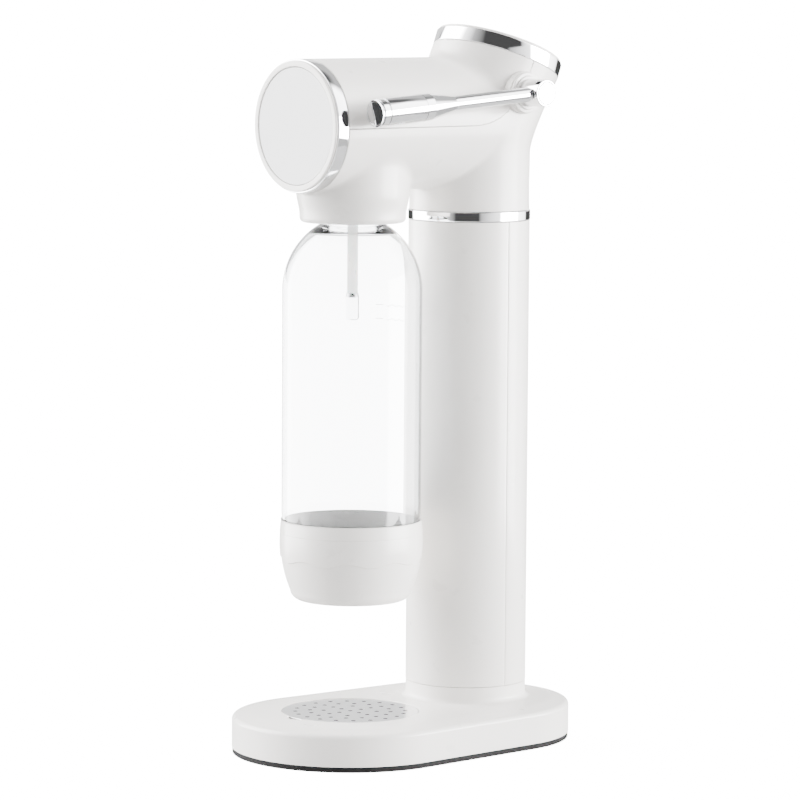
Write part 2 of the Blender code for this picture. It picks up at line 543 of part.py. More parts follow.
def make_carbonation_gear():
    white, steel, nylon = (INNER_WHITE, 0.4), (STEEL, 0.25, 1.0), (NYLON, 0.4)
    socket_low = COLLAR_BOTTOM + 0.0007
    turned("socket_insert", [
        (SOCKET_INNER, SOCKET_TOP), (SOCKET_INNER, socket_low),
        (SOCKET_OUTER, socket_low), (SOCKET_OUTER, SOCKET_TOP - 0.0060),
        (SOCKET_INNER + 0.0030, SOCKET_TOP)], white, steps=MIDDLE_STEPS)
    tube_hole = TUBE_RADIUS + GAP
    sleeve("mouth_seal", tube_hole, SOCKET_INNER - 0.0006, SEAL_BOTTOM, SEAL_BOTTOM + SEAL_HEIGHT,
           (RUBBER, 0.7), steps=MIDDLE_STEPS)
    flange = SOCKET_INNER + MANIFOLD_FLANGE
    flange_top = MANIFOLD_BOTTOM + 0.0040
    manifold = turned("manifold", [
        (0, MANIFOLD_TOP), (MANIFOLD_RADIUS, MANIFOLD_TOP), (MANIFOLD_RADIUS, flange_top),
        (flange, flange_top), (flange, MANIFOLD_BOTTOM), (tube_hole, MANIFOLD_BOTTOM),
        (tube_hole, TUBE_TOP + GAP), (0, TUBE_TOP + GAP)], white, steps=MIDDLE_STEPS)
    shank = 0.0012
    socket = bpy.data.objects["socket_insert"]
    for number, side in enumerate((-1, 1), 1):
        offset = SOCKET_INNER + 0.0012
        spot = (side * offset * math.cos(SCREW_TURN), side * offset * math.sin(SCREW_TURN), 0)
        drill(manifold, shank + GAP, MANIFOLD_BOTTOM - 0.001, flange_top + 0.001, centre=spot,
              steps=SCREW_STEPS)
        drill(socket, shank + GAP, SOCKET_TOP - 0.0080, SOCKET_TOP + 0.001, centre=spot, steps=SCREW_STEPS)
        turned(f"manifold_screw_{number}", [
            (0, flange_top + 0.0022), (0.0021, flange_top + 0.0022), (0.0021, flange_top + GAP),
            (shank, flange_top + GAP),
            (shank, SOCKET_TOP - 0.0070), (0, SOCKET_TOP - 0.0070)], steel, centre=spot,
            steps=SCREW_STEPS)
    turned("relief_valve", [
        (0, MANIFOLD_TOP + 0.0130), (0.0035, MANIFOLD_TOP + 0.0130), (0.0035, MANIFOLD_TOP + 0.0040),
        (0.0050, MANIFOLD_TOP + 0.0040), (0.0050, MANIFOLD_TOP + GAP), (0, MANIFOLD_TOP + GAP)],
        (BRASS, 0.3, 1.0), steps=SMALL_STEPS)
    sleeve("carbonating_tube", TUBE_BORE, TUBE_RADIUS, TUBE_END, TUBE_TOP, nylon, steps=SMALL_STEPS)
    tip_top = TUBE_END - GAP
    tip_end = tip_top - TIP_LENGTH + GAP
    turned("tube_tip", [
        (0.0006, tip_end), (0.0006, tip_top), (TUBE_RADIUS, tip_top), (TIP_RADIUS, tip_top - 0.0007),
        (TIP_RADIUS, tip_end + 0.0022), (TIP_RADIUS - 0.0007, tip_end + 0.0007),
        (TIP_RADIUS - 0.0022, tip_end)], (CHROME, 0.1, 1.0), steps=SMALL_STEPS)
    rear_end = COLUMN_Y - BLOCK_RADIUS - GAP
    front_end = MANIFOLD_RADIUS + GAP
    lying = ("X", math.radians(90))
    rod("hose_fitting_rear", FITTING_RADIUS, 0, FITTING_LENGTH, (BRASS, 0.3, 1.0),
        centre=(0, rear_end, PORT_Z), turn=lying, steps=SMALL_STEPS)
    rod("hose_fitting_front", FITTING_RADIUS, 0, FITTING_LENGTH, (BRASS, 0.3, 1.0),
        centre=(0, front_end + FITTING_LENGTH, PORT_Z), turn=lying, steps=SMALL_STEPS)
    make_hose(front_end + FITTING_LENGTH + GAP, rear_end - FITTING_LENGTH - GAP)


def make_hose(start_y, end_y):
    """The short pressure hose between the two fittings, sagging a little."""
    curve = bpy.data.curves.new("gas_hose", "CURVE")
    curve.dimensions = "3D"
    curve.bevel_depth = HOSE_RADIUS
    curve.bevel_resolution = 2
    curve.use_fill_caps = True
    spline = curve.splines.new("POLY")
    spline.points.add(10)
    for step, point in enumerate(spline.points):
        share = step / 10
        drop = HOSE_SAG * math.sin(math.pi * share) ** 2
        point.co = (0, start_y + (end_y - start_y) * share, PORT_Z - drop, 1)
    made = bpy.data.objects.new("gas_hose", curve)
    bpy.context.collection.objects.link(made)
    curve.materials.append(material("gas_hose", HOSE_BLUE, 0.4))


def neck_ring(share, inset, past=0.0):
    """A ring of the leaning neck: share 0 is where the bend starts, 1 is its top edge."""
    knee = NECK_BEND_RISE + NECK_BEND_KNEE
    height = ((1 - share) ** 2 * NECK_BEND_RISE + 2 * share * (1 - share) * knee
              + share ** 2 * NECK_TOP_RISE)
    tilt = NECK_TILT * share
    along = Vector((0, math.sin(tilt), math.cos(tilt)))
    across = Vector((0, math.cos(tilt), -math.sin(tilt)))
    centre = Vector((0, COLUMN_Y + share ** 2 * NECK_TOP_SHIFT, HEAD_BOTTOM + height)) + past * along
    start_radius = COLUMN_RADIUS + 0.0001
    radius = start_radius + (NECK_TOP_RADIUS - start_radius) * share - inset
    return ring_points(centre, radius, Vector((1, 0, 0)), across)


def ring_points(centre, radius, first, second, shift=0.0):
    """Points round a circle. The shift, in steps, keeps crossing forms from sharing an edge."""
    points = []
    for step in range(LARGE_STEPS):
        angle = 2 * math.pi * (step + shift) / LARGE_STEPS
        points.append(centre + radius * (math.cos(angle) * first + math.sin(angle) * second))
    return points


def head_form(name, inset, past, finish=None):
    """The head's neck and barrel as one solid. The inner form is inset and runs past the ends."""
    start = ring_points(Vector((0, COLUMN_Y, HEAD_BOTTOM - past)), COLUMN_RADIUS - 0.0002 - inset,
                        Vector((1, 0, 0)), Vector((0, 1, 0)))
    rings = [start] + [neck_ring(step / 5, inset) for step in range(6)]
    if past:
        rings.append(neck_ring(1, inset, past))
    neck = lofted(name, rings, finish)
    stations = ((BARREL_FRONT_Y - past, 1), (BARREL_BLEND_Y, 1), (COLUMN_Y - 0.0124, 0.985),
                (BARREL_END_Y, BARREL_END_SHARE))
    sections = [ring_points(Vector((0, y, BARREL_Z)), BARREL_RADIUS * share - inset,
                            Vector((1, 0, 0)), Vector((0, 0, 1)), 0.5) for y, share in stations]
    boolean(neck, lofted(f"{name}_barrel", sections, None), "UNION")
    return neck


def seam_region(name, gap):
    """The space above the line where the head's two shells meet, seen from the side."""
    top = HEAD_BOTTOM + NECK_TOP_RISE
    seam = [(-0.2, BARREL_Z - 0.0008), (COLUMN_Y - 0.0274, BARREL_Z - 0.0008),
            (COLUMN_Y - 0.0142, BARREL_Z + 0.0031), (COLUMN_Y - 0.0013, BARREL_Z + 0.0086),
            (SHAFT_Y, SHAFT_Z), (COLUMN_Y + 0.0168, top + 0.0020), (COLUMN_Y + 0.0280, top + 0.0300)]
    line = [(y - 0.4 * gap, z + 0.9 * gap) for y, z in seam]
    outline = line + [(COLUMN_Y, 0.7), (-0.2, 0.7)]
    return lofted(name, [[(x, y, z) for y, z in outline] for x in (-0.1, 0.1)], None)


def make_head_shells():
    white = (WARM_WHITE, 0.3)
    sideways = ("Y", math.radians(90))
    hinge = (0, SHAFT_Y, SHAFT_Z)
    upper = head_form("head_upper_shell", 0, 0, white)
    lower = head_form("head_lower_shell", 0, 0, white)
    pad = rod("lever_pad", PAD_RADIUS, PAD_FACE_X - 2 * BUSH_RIGHT_LENGTH, PAD_FACE_X, None,
              centre=hinge, turn=sideways, steps=MIDDLE_STEPS)
    collar = turned("socket_collar", [
        (0, BARREL_Z), (COLLAR_RADIUS + 0.0030, BARREL_Z), (COLLAR_RADIUS + 0.0020, COLLAR_BOTTOM + 0.0160),
        (COLLAR_RADIUS + 0.0004, COLLAR_BOTTOM + 0.0070), (COLLAR_RADIUS, COLLAR_BOTTOM + 0.0020),
        (COLLAR_RADIUS - 0.0010, COLLAR_BOTTOM + 0.0003), (COLLAR_RADIUS - 0.0020, COLLAR_BOTTOM),
        (0, COLLAR_BOTTOM)], None)
    cavity = head_form("head_cavity", WALL, 0.0020)
    bush_hole = BUSH_OUTER + GAP
    left_post = rod("shaft_post", bush_hole + BUSH_WALL, SHAFT_POST_X, SHAFT_POST_X + SHAFT_POST_LENGTH,
                    None, centre=hinge, turn=sideways)
    for shell, region, operation in (
            (upper, seam_region("above_seam", GAP), "INTERSECT"),
            (lower, seam_region("seam_cut", -0.1 * GAP), "DIFFERENCE")):
        boolean(shell, pad, "UNION")
        if shell is lower:
            boolean(shell, collar, "UNION")
        boolean(shell, cavity)
        boolean(shell, left_post, "UNION")
        drill(shell, bush_hole, PAD_FACE_X - 0.0212, PAD_FACE_X + 0.0188, centre=hinge, turn=sideways)
        drill(shell, bush_hole, SHAFT_POST_FLOOR_X, SHAFT_POST_X + 0.0175, centre=hinge, turn=sideways)
        if shell is lower:
            drill(shell, SOCKET_OUTER + GAP, COLLAR_BOTTOM - 0.1, BARREL_Z - 0.0220, steps=LARGE_STEPS)
        boolean(shell, region, operation)


def make_end_caps():
    """The chrome bands, white bezels and flat discs that close the barrel's front and the neck's top."""
    chrome, white, grey = (CHROME, 0.08, 1.0), (WARM_WHITE, 0.25), (DISC_GREY, 0.45)
    top_tilt = Vector((0, math.sin(NECK_TILT), math.cos(NECK_TILT)))
    top_start = Vector((0, COLUMN_Y + NECK_TOP_SHIFT, HEAD_BOTTOM + NECK_TOP_RISE))
    ends = (("front", Vector((0, BARREL_FRONT_Y, BARREL_Z)), math.radians(90), FRONT_BAND_WIDTH,
             BARREL_RADIUS),
            ("top", top_start, -NECK_TILT, TOP_BAND_HEIGHT, NECK_TOP_RADIUS + 0.0001))
    for name, start, angle, width, radius in ends:
        spot = {"centre": start, "turn": ("X", angle)}
        inner = radius - BAND_THICKNESS
        sleeve(f"{name}_band", inner, radius, GAP, width, chrome, **spot)
        rim = width + GAP
        face = rim + BEZEL_PROUD
        bezel_outer = radius - 0.0009
        bezel_inner = bezel_outer - BEZEL_WIDTH
        skirt = inner - GAP
        turned(f"{name}_bezel", [
            (bezel_inner, face - 0.0004), (bezel_inner, GAP), (skirt, GAP), (skirt, rim),
            (bezel_outer, rim), (bezel_outer, face - 0.0004), (bezel_outer - 0.0006, face),
            (bezel_inner + 0.0004, face)], white, steps=MIDDLE_STEPS, **spot)
        disc_top = face - 0.0005
        rod(f"{name}_disc", bezel_inner - GAP, disc_top - DISC_THICKNESS, disc_top, grey,
            steps=MIDDLE_STEPS, **spot)


def make_lever():
    steel, chrome, white = (STEEL, 0.3, 1.0), (CHROME, 0.08, 1.0), (WARM_WHITE, 0.3)
    sideways = ("Y", math.radians(90))
    hinge = Vector((0, SHAFT_Y, SHAFT_Z))
    pivot = joint_origin("lever_pivot", hinge)
    across = {"centre": hinge, "turn": sideways, "steps": SMALL_STEPS}
    bore = SHAFT_RADIUS + GAP
    sleeve("lever_boss", BUSH_OUTER + GAP, PAD_RADIUS - 0.0006, PAD_FACE_X + GAP,
           PAD_FACE_X + GAP + BOSS_LENGTH, white, centre=hinge, turn=sideways, steps=MIDDLE_STEPS)
    sleeve("shaft_bush_right", bore, BUSH_OUTER, BUSH_RIGHT_X, PAD_FACE_X, (NYLON, 0.4), **across)
    bush_left = SHAFT_POST_FLOOR_X + GAP
    sleeve("shaft_bush_left", bore, BUSH_OUTER, bush_left, bush_left + BUSH_LEFT_LENGTH, (NYLON, 0.4),
           **across)
    shaft_end = HUB_INNER_X + 0.0080
    rod("lever_shaft", SHAFT_RADIUS, bush_left + GAP, shaft_end, steel, moves_on=pivot, **across)
    clip_high = BUSH_RIGHT_X - 2 * GAP
    clip_low = clip_high - CLIP_THICKNESS
    clip = sleeve("shaft_clip", bore, SHAFT_RADIUS + 0.0025, clip_low, clip_high, steel,
                  moves_on=pivot, **across)
    half_gap = CLIP_GAP_WIDTH / 2
    boolean(clip, block("clip_gap", (clip_low - 0.001, SHAFT_Y - half_gap, SHAFT_Z - 0.0200),
                        (clip_high + 0.001, SHAFT_Y + half_gap, SHAFT_Z), None))
    recess = 0.0012
    hub = turned("lever_hub", [
        (bore, HUB_INNER_X), (bore, shaft_end + GAP), (0, shaft_end + GAP), (0, HUB_OUTER_X - recess),
        (0.0068, HUB_OUTER_X - recess), (0.0068, HUB_OUTER_X), (HUB_RADIUS - 0.0004, HUB_OUTER_X),
        (HUB_RADIUS, HUB_OUTER_X - 0.0004), (HUB_RADIUS, HUB_INNER_X)],
        chrome, centre=hinge, turn=sideways, steps=MIDDLE_STEPS, moves_on=pivot)
    rod("hub_cap", 0.0068 - GAP, HUB_OUTER_X - recess + GAP, HUB_OUTER_X + GAP, (CHROME, 0.2, 1.0),
        moves_on=pivot, **across)
    arm_turn = ("X", math.radians(90) + ARM_SLOPE)
    arm_place = {"centre": hinge + Vector((ARM_X, 0, 0)), "turn": arm_turn, "moves_on": pivot}
    tenon = 0.0028
    start = HUB_RADIUS + GAP
    cone_start = start + ROD_LENGTH
    cone_end = cone_start + CONE_LENGTH
    stud_end = cone_end + 0.0120
    boolean(hub, rod("tenon_hole", tenon + GAP, 0.0035, 0.0200, None, steps=LEVER_STEPS,
                     centre=arm_place["centre"], turn=arm_turn))
    turned("lever_arm", [
        (0, 0.0040), (tenon, 0.0040), (tenon, start), (ARM_RADIUS, start), (ARM_RADIUS, cone_start),
        (GRIP_RADIUS - 0.0002, cone_end), (tenon, cone_end), (tenon, stud_end), (0, stud_end)],
        chrome, steps=LEVER_STEPS, **arm_place)
    grip_start = cone_end + GAP
    grip_end = grip_start + GRIP_LENGTH
    turned("lever_grip", [
        (tenon + GAP, grip_start), (tenon + GAP, stud_end + GAP), (0, stud_end + GAP), (0, grip_end),
        (GRIP_RADIUS, grip_end), (GRIP_RADIUS, grip_start)], chrome, steps=LEVER_STEPS, **arm_place)
    cap_start = grip_end + GAP
    cap_end = cap_start + END_CAP_LENGTH
    turned("grip_end_cap", [
        (0, cap_start), (0, cap_end), (GRIP_RADIUS - 0.0005, cap_end), (GRIP_RADIUS, cap_end - 0.0005),
        (GRIP_RADIUS, cap_start)], chrome, steps=LEVER_STEPS, **arm_place)
    make_cam(hinge, pivot)
    coil("return_spring", 0.0007, SHAFT_RADIUS + 0.0022, 0.0150, 5, steel,
         centre=hinge + Vector((0.0090, 0, 0)), turn=sideways)


def make_cam(hinge, pivot):
    """The finger on the shaft that presses the plunger, cut from a flat bar."""
    reach = Vector((-SHAFT_BACK, -CAM_DROP))
    flat = wrapped_outline((0, 0), SHAFT_RADIUS + 0.0040, (0, reach.length), CAM_RADIUS, 10)
    aim = Matrix.Rotation(math.atan2(reach.y, reach.x) - math.pi / 2, 2)
    points = [aim @ Vector(point) for point in flat]
    sections = [[(x, y, z) for y, z in points] for x in (-CAM_HALF_WIDTH, CAM_HALF_WIDTH)]
    cam = lofted("cam_finger", sections, (STEEL, 0.35, 1.0), centre=hinge, moves_on=pivot)
    drill(cam, SHAFT_RADIUS + GAP, -0.02, 0.02, centre=hinge, turn=("Y", math.radians(90)))


def make_bottle():
    travel = joint_origin("bottle_travel", (0, 0, BOTTLE_MOUTH))
    shoulder_rise = 0.0365
    neck_base = BOTTLE_SHOULDER + shoulder_rise
    dome = BOTTLE_RADIUS - BOTTLE_NECK_RADIUS - 0.0030
    outer = [(0, BOTTLE_BOTTOM), (BOTTLE_RADIUS - 0.0140, BOTTLE_BOTTOM),
             (BOTTLE_RADIUS - 0.0055, BOTTLE_BOTTOM + 0.0040), (BOTTLE_RADIUS - 0.0028, CUP_RIM - 0.0300),
             (BOTTLE_RADIUS - 0.0010, CUP_RIM - 0.0120), (BOTTLE_RADIUS, CUP_RIM + 0.0040)]
    for step in range(7):
        angle = math.pi / 2 * step / 6
        outer.append((BOTTLE_NECK_RADIUS + 0.0030 + dome * math.cos(angle) ** 0.85,
                      BOTTLE_SHOULDER + shoulder_rise * math.sin(angle)))
    outer += [(BOTTLE_NECK_RADIUS, neck_base + 0.0020), (BOTTLE_NECK_RADIUS, BOTTLE_MOUTH)]
    inner_neck = BOTTLE_NECK_RADIUS - 1.8 * BOTTLE_WALL
    inner = [(inner_neck, BOTTLE_MOUTH), (inner_neck, neck_base)]
    for step in range(5, 0, -1):
        angle = math.pi / 2 * step / 6
        inner.append((inner_neck + (BOTTLE_RADIUS - BOTTLE_WALL - inner_neck) * math.cos(angle) ** 0.9,
                      BOTTLE_SHOULDER + (shoulder_rise - BOTTLE_WALL) * math.sin(angle)))
    inner += [(BOTTLE_RADIUS - BOTTLE_WALL, CUP_RIM + 0.0040),
              (BOTTLE_RADIUS - 0.0028 - BOTTLE_WALL, CUP_RIM - 0.0300),
              (BOTTLE_RADIUS - 0.0075, BOTTLE_BOTTOM + 0.0055),
              (BOTTLE_RADIUS - 0.0150, BOTTLE_BOTTOM + BOTTLE_WALL), (0, BOTTLE_BOTTOM + BOTTLE_WALL)]
    turned("bottle", outer + inner, (CLEAR, 0.05), steps=MIDDLE_STEPS, moves_on=travel)
    make_cup(travel)


def cup_radius(height):
    """The base cup's outer radius: widest a third of the way down, drawn in towards the bottom."""
    widest = CUP_RIM - 0.0150
    if height > widest:
        return BOTTLE_RADIUS + CUP_SWELL - 0.0010 * ((height - widest) / (CUP_RIM - widest)) ** 2
    lowest = CUP_BOTTOM + CUP_CORNER
    return BOTTLE_RADIUS + CUP_SWELL - 0.0064 * ((widest - height) / (widest - lowest)) ** 2


def make_cup(travel):
    heights = [CUP_RIM - (CUP_HEIGHT - CUP_CORNER) * step / 7 for step in range(8)]
    outer = [(cup_radius(height), height) for height in heights]
    low = outer[-1][0]
    outer += [(low - 0.0024, CUP_BOTTOM + 0.0024), (low - 0.0060, CUP_BOTTOM), (0, CUP_BOTTOM)]
    floor = BOTTLE_BOTTOM - GAP
    inner = [(0, floor), (BOTTLE_RADIUS - 0.0140 + GAP, floor),
             (BOTTLE_RADIUS - 0.0052, BOTTLE_BOTTOM + 0.0035),
             (BOTTLE_RADIUS - 0.0024, CUP_RIM - 0.0300), (BOTTLE_RADIUS - 0.0006, CUP_RIM - 0.0120),
             (BOTTLE_RADIUS + GAP, CUP_RIM)]
    turned("bottle_cup", outer + inner, (WARM_WHITE, 0.3), steps=MIDDLE_STEPS, moves_on=travel)


def main():
    clear_scene()
    make_base()
    make_tray()
    make_column()
    make_gas_cylinder()
    make_valve_gear()
    make_carbonation_gear()
    make_head_shells()
    make_end_caps()
    make_lever()
    make_bottle()
    bpy.context.view_layer.update()


main()
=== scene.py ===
"""Soda carbonator: the finished look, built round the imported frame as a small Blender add-on.

Metres, +Z up. -Y is the front with the round disc, +X is the side with the lever.
"""

import json
import math

import bmesh
import bpy
import numpy as np
from mathutils import Matrix, Vector, geometry


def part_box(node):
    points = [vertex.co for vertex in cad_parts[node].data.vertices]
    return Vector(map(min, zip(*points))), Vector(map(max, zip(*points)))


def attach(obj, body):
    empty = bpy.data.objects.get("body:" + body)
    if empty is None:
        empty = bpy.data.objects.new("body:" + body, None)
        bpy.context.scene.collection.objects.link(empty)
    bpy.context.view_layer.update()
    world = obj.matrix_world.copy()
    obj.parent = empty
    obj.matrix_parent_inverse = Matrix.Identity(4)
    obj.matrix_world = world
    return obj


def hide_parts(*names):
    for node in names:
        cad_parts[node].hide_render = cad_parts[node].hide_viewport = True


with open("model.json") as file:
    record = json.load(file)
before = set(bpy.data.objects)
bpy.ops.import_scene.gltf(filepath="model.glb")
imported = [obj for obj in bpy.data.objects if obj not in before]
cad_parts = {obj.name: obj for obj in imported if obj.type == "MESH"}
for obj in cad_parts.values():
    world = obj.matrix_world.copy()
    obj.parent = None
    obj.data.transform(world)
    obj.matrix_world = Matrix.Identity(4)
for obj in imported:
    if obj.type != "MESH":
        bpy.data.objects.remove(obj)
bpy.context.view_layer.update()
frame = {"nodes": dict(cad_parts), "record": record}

bl_info = {
    "name": "Soda Carbonator",
    "version": (1, 0, 0),
    "blender": (4, 5, 0),
    "location": "View3D > Sidebar > Carbonator",
    "description": "Builds a countertop soda carbonator round its mechanical frame",
    "category": "Object",
}

GAP = 0.0003


def middle(node):
    low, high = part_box(node)
    return (low + high) / 2


def spread(node):
    low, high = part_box(node)
    return high - low


# Places read from the frame
RING_LOW, RING_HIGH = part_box("column_ring")
COLUMN_Y = middle("column_ring").y
COLUMN_RADIUS = spread("column_shell").x / 2
HEAD_BOTTOM = RING_HIGH.z + GAP
BASE_LOW, BASE_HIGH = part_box("base_shell")
TRAY_RADIUS = spread("drip_tray").x / 2
BARREL_RADIUS = spread("front_band").x / 2
BARREL_Z = middle("front_band").z
BARREL_FRONT_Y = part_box("front_band")[1].y + GAP
SHAFT = middle("lever_hub")
PAD_FACE_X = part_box("lever_boss")[0].x - GAP
COLLAR_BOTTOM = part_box("head_lower_shell")[0].z
CUP_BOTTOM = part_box("bottle_cup")[0].z
CUP_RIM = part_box("bottle_cup")[1].z
BOTTLE_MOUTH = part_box("bottle")[1].z
BOTTLE_RADIUS = spread("bottle").x / 2
NECK_TILT = math.radians(20.67)
ARM_SLOPE = math.radians(4.47)
BASE_TOP = 0.0250
WALL = 0.0025
NOTCH_RADIUS = 0.0075
NOTCH_REACH = 0.0050
TRAY_WALL = 0.0015
GRILLE_HOLE_RADIUS = 0.0014
GRILLE_HOLE_RINGS = ((1, 0.0), (4, 0.0084), (8, 0.0162), (16, 0.0246), (20, 0.0334))
GRILLE_PLAIN_RIM = 0.0380
FILL_LINE_HEIGHTS = (0.2602, 0.2687)

# How the object is seen and lit: angles in degrees, places in metres
VIEW_HEADING, VIEW_LIFT, VIEW_ROLL = 50.003, 6.054, -0.381
VIEW_RIGHT, VIEW_HEIGHT, VIEW_DISTANCE = 0.029061, 0.214607, 2.526102
LENS, SENSOR_WIDTH = 188.53, 36
CARD_HEADING = 50
CARD_STRENGTH = 100.0
FLOOR_GLOW = 14.0
FLOOR_HALF_WIDTH, BOUNCE_HALF_WIDTH = 200, 0.6


class CarbonatorSizes(bpy.types.PropertyGroup):
    facets: bpy.props.IntProperty(
        name="Facets", description="Straight sides round each large circle", default=128, min=24)
    skin_step: bpy.props.FloatProperty(
        name="Skin step", description="Distance between the points of the head's skin",
        default=0.0011, unit="LENGTH")
    crease_fillet: bpy.props.FloatProperty(
        name="Crease fillet", description="Fillet where the barrel meets the column",
        default=0.0020, unit="LENGTH")
    nape_fillet: bpy.props.FloatProperty(
        name="Nape fillet", description="Fillet where the barrel's top meets the leaning neck",
        default=0.0100, unit="LENGTH")
    collar_fillet: bpy.props.FloatProperty(
        name="Collar fillet", description="Fillet where the bottle collar meets the barrel",
        default=0.0024, unit="LENGTH")
    seam_gap: bpy.props.FloatProperty(
        name="Seam gap", description="Width of the line between the head's two shells",
        default=0.0003, unit="LENGTH")
    edge: bpy.props.FloatProperty(
        name="Edge rounding", description="Rounding on the edges of moulded pieces",
        default=0.0004, unit="LENGTH")
    bottle_wall: bpy.props.FloatProperty(
        name="Bottle wall", description="Thickness of the clear bottle", default=0.0013, unit="LENGTH")
    wave_count: bpy.props.IntProperty(
        name="Cup waves", description="Waves in the step round the bottle's cup", default=9)
    wave_height: bpy.props.FloatProperty(
        name="Cup wave height", description="Rise and fall of the step round the cup",
        default=0.0012, unit="LENGTH")


class CarbonatorColours(bpy.types.PropertyGroup):
    white: bpy.props.FloatVectorProperty(
        name="Shell white", description="Warm white of the moulded shells", subtype="COLOR",
        size=3, default=(0.87, 0.845, 0.815))
    disc: bpy.props.FloatVectorProperty(
        name="Disc grey", description="Pale grey of the two end discs", subtype="COLOR",
        size=3, default=(0.84, 0.84, 0.845))
    rubber: bpy.props.FloatVectorProperty(
        name="Rubber", description="Black of the foot pad and seals", subtype="COLOR",
        size=3, default=(0.012, 0.012, 0.012))
    cylinder: bpy.props.FloatVectorProperty(
        name="Cylinder paint", description="Paint of the gas cylinder", subtype="COLOR",
        size=3, default=(0.10, 0.20, 0.42))


# ---------------------------------------------------------------- materials


def node(tree, kind, **values):
    """Adds a shader node. Names of its sockets or attributes are given with underscores for spaces."""
    made = tree.nodes.new(kind)
    for key, value in values.items():
        socket = made.inputs.get(key.replace("_", " "))
        if socket is not None:
            socket.default_value = value
        else:
            setattr(made, key, value)
    return made


def shader(name, colour, roughness, metallic=0.0, **more):
    """A new material with its Principled shader set; returns (material, tree, shader)."""
    made = bpy.data.materials.new(name)
    made.use_nodes = True
    tree = made.node_tree
    main = tree.nodes["Principled BSDF"]
    main.inputs["Base Color"].default_value = (*colour, 1.0)
    main.inputs["Roughness"].default_value = roughness
    main.inputs["Metallic"].default_value = metallic
    for key, value in more.items():
        main.inputs[key.replace("_", " ")].default_value = value
    return made, tree, main


def object_place(tree, scale=(1, 1, 1), turn=(0, 0, 0), shift=(0, 0, 0)):
    coords = node(tree, "ShaderNodeTexCoord")
    mapping = node(tree, "ShaderNodeMapping", Location=shift, Rotation=turn, Scale=scale)
    tree.links.new(coords.outputs["Object"], mapping.inputs["Vector"])
    return mapping.outputs["Vector"]


def noise(tree, place, scale, detail=3.0, roughness=0.5):
    made = node(tree, "ShaderNodeTexNoise", Scale=scale, Detail=detail, Roughness=roughness)
    tree.links.new(place, made.inputs["Vector"])
    return made.outputs["Fac"]


def spread_to(tree, value, low, high, socket):
    """Maps a 0.3 to 0.7 noise onto a range and links it to a socket."""
    ranged = node(tree, "ShaderNodeMapRange", From_Min=0.3, From_Max=0.7, To_Min=low, To_Max=high)
    tree.links.new(value, ranged.inputs["Value"])
    tree.links.new(ranged.outputs["Result"], socket)


def blend_colours(tree, value, first, second, socket):
    ramp = node(tree, "ShaderNodeValToRGB")
    ramp.color_ramp.elements[0].position = 0.3
    ramp.color_ramp.elements[0].color = (*first, 1)
    ramp.color_ramp.elements[1].position = 0.7
    ramp.color_ramp.elements[1].color = (*second, 1)
    tree.links.new(value, ramp.inputs["Fac"])
    tree.links.new(ramp.outputs["Color"], socket)


def bump(tree, main, height, strength, distance):
    made = node(tree, "ShaderNodeBump", Strength=strength, Distance=distance)
    tree.links.new(height, made.inputs["Height"])
    tree.links.new(made.outputs["Normal"], main.inputs["Normal"])


def dimmed(colour, factor):
    return tuple(channel * factor for channel in colour)


def moulded_plastic(name, colour, roughness=0.30, grain=0.05, coat=0.15):
    """Moulded plastic: a faint spark-eroded grain and very slight shifts of tone."""
    made, tree, main = shader(name, colour, roughness, Coat_Weight=coat, Coat_Roughness=0.12,
                              IOR=1.49)
    place = object_place(tree)
    blend_colours(tree, noise(tree, place, 14, 2), dimmed(colour, 0.985), colour,
                  main.inputs["Base Color"])
    spread_to(tree, noise(tree, place, 60, 4), roughness - 0.03, roughness + 0.04,
              main.inputs["Roughness"])
    bump(tree, main, noise(tree, place, 1600, 3, 0.6), grain, 0.00006)
    return made


def disc_plastic(colour):
    """The end discs' fine matt texture."""
    made, tree, main = shader("disc_plastic", colour, 0.5, Coat_Weight=0.05)
    place = object_place(tree)
    blend_colours(tree, noise(tree, place, 2600, 2), dimmed(colour, 0.97), colour,
                  main.inputs["Base Color"])
    spread_to(tree, noise(tree, place, 90, 3), 0.44, 0.56, main.inputs["Roughness"])
    bump(tree, main, noise(tree, place, 3200, 2, 0.7), 0.12, 0.00005)
    return made


def chrome_plate():
    """Mirror plating with the faintest haze and polishing waves."""
    made, tree, main = shader("chrome_plate", (0.80, 0.80, 0.81), 0.05, 1.0)
    place = object_place(tree)
    spread_to(tree, noise(tree, place, 35, 4), 0.025, 0.075, main.inputs["Roughness"])
    bump(tree, main, noise(tree, place, 160, 2), 0.015, 0.0001)
    return made


def brushed_steel(name, lie, roughness=0.26):
    """Steel with fine lines drawn along one axis; lie stretches the pattern."""
    made, tree, main = shader(name, (0.60, 0.60, 0.605), roughness, 1.0, Anisotropic=0.35)
    place = object_place(tree, scale=lie)
    lines = noise(tree, place, 1, 4, 0.65)
    blend_colours(tree, lines, (0.54, 0.54, 0.545), (0.66, 0.66, 0.66), main.inputs["Base Color"])
    spread_to(tree, lines, roughness - 0.06, roughness + 0.08, main.inputs["Roughness"])
    bump(tree, main, lines, 0.05, 0.00004)
    return made


def machined_brass():
    made, tree, main = shader("machined_brass", (0.76, 0.56, 0.27), 0.28, 1.0)
    lines = noise(tree, object_place(tree, scale=(60, 60, 9000)), 1, 2)
    blend_colours(tree, lines, (0.68, 0.49, 0.22), (0.80, 0.61, 0.31), main.inputs["Base Color"])
    bump(tree, main, lines, 0.08, 0.00004)
    return made


# Black rubber; the same shader, near black, also paints shade on the grille holes' walls
def black_rubber_and_hole_shade(colour):
    made, tree, main = shader("black_rubber_and_hole_shade", colour, 0.75, Specular_IOR_Level=0.15)
    place = object_place(tree)
    blend_colours(tree, noise(tree, place, 300, 4), dimmed(colour, 0.7), dimmed(colour, 1.4),
                  main.inputs["Base Color"])
    bump(tree, main, noise(tree, place, 2200, 3, 0.7), 0.3, 0.0001)
    return made


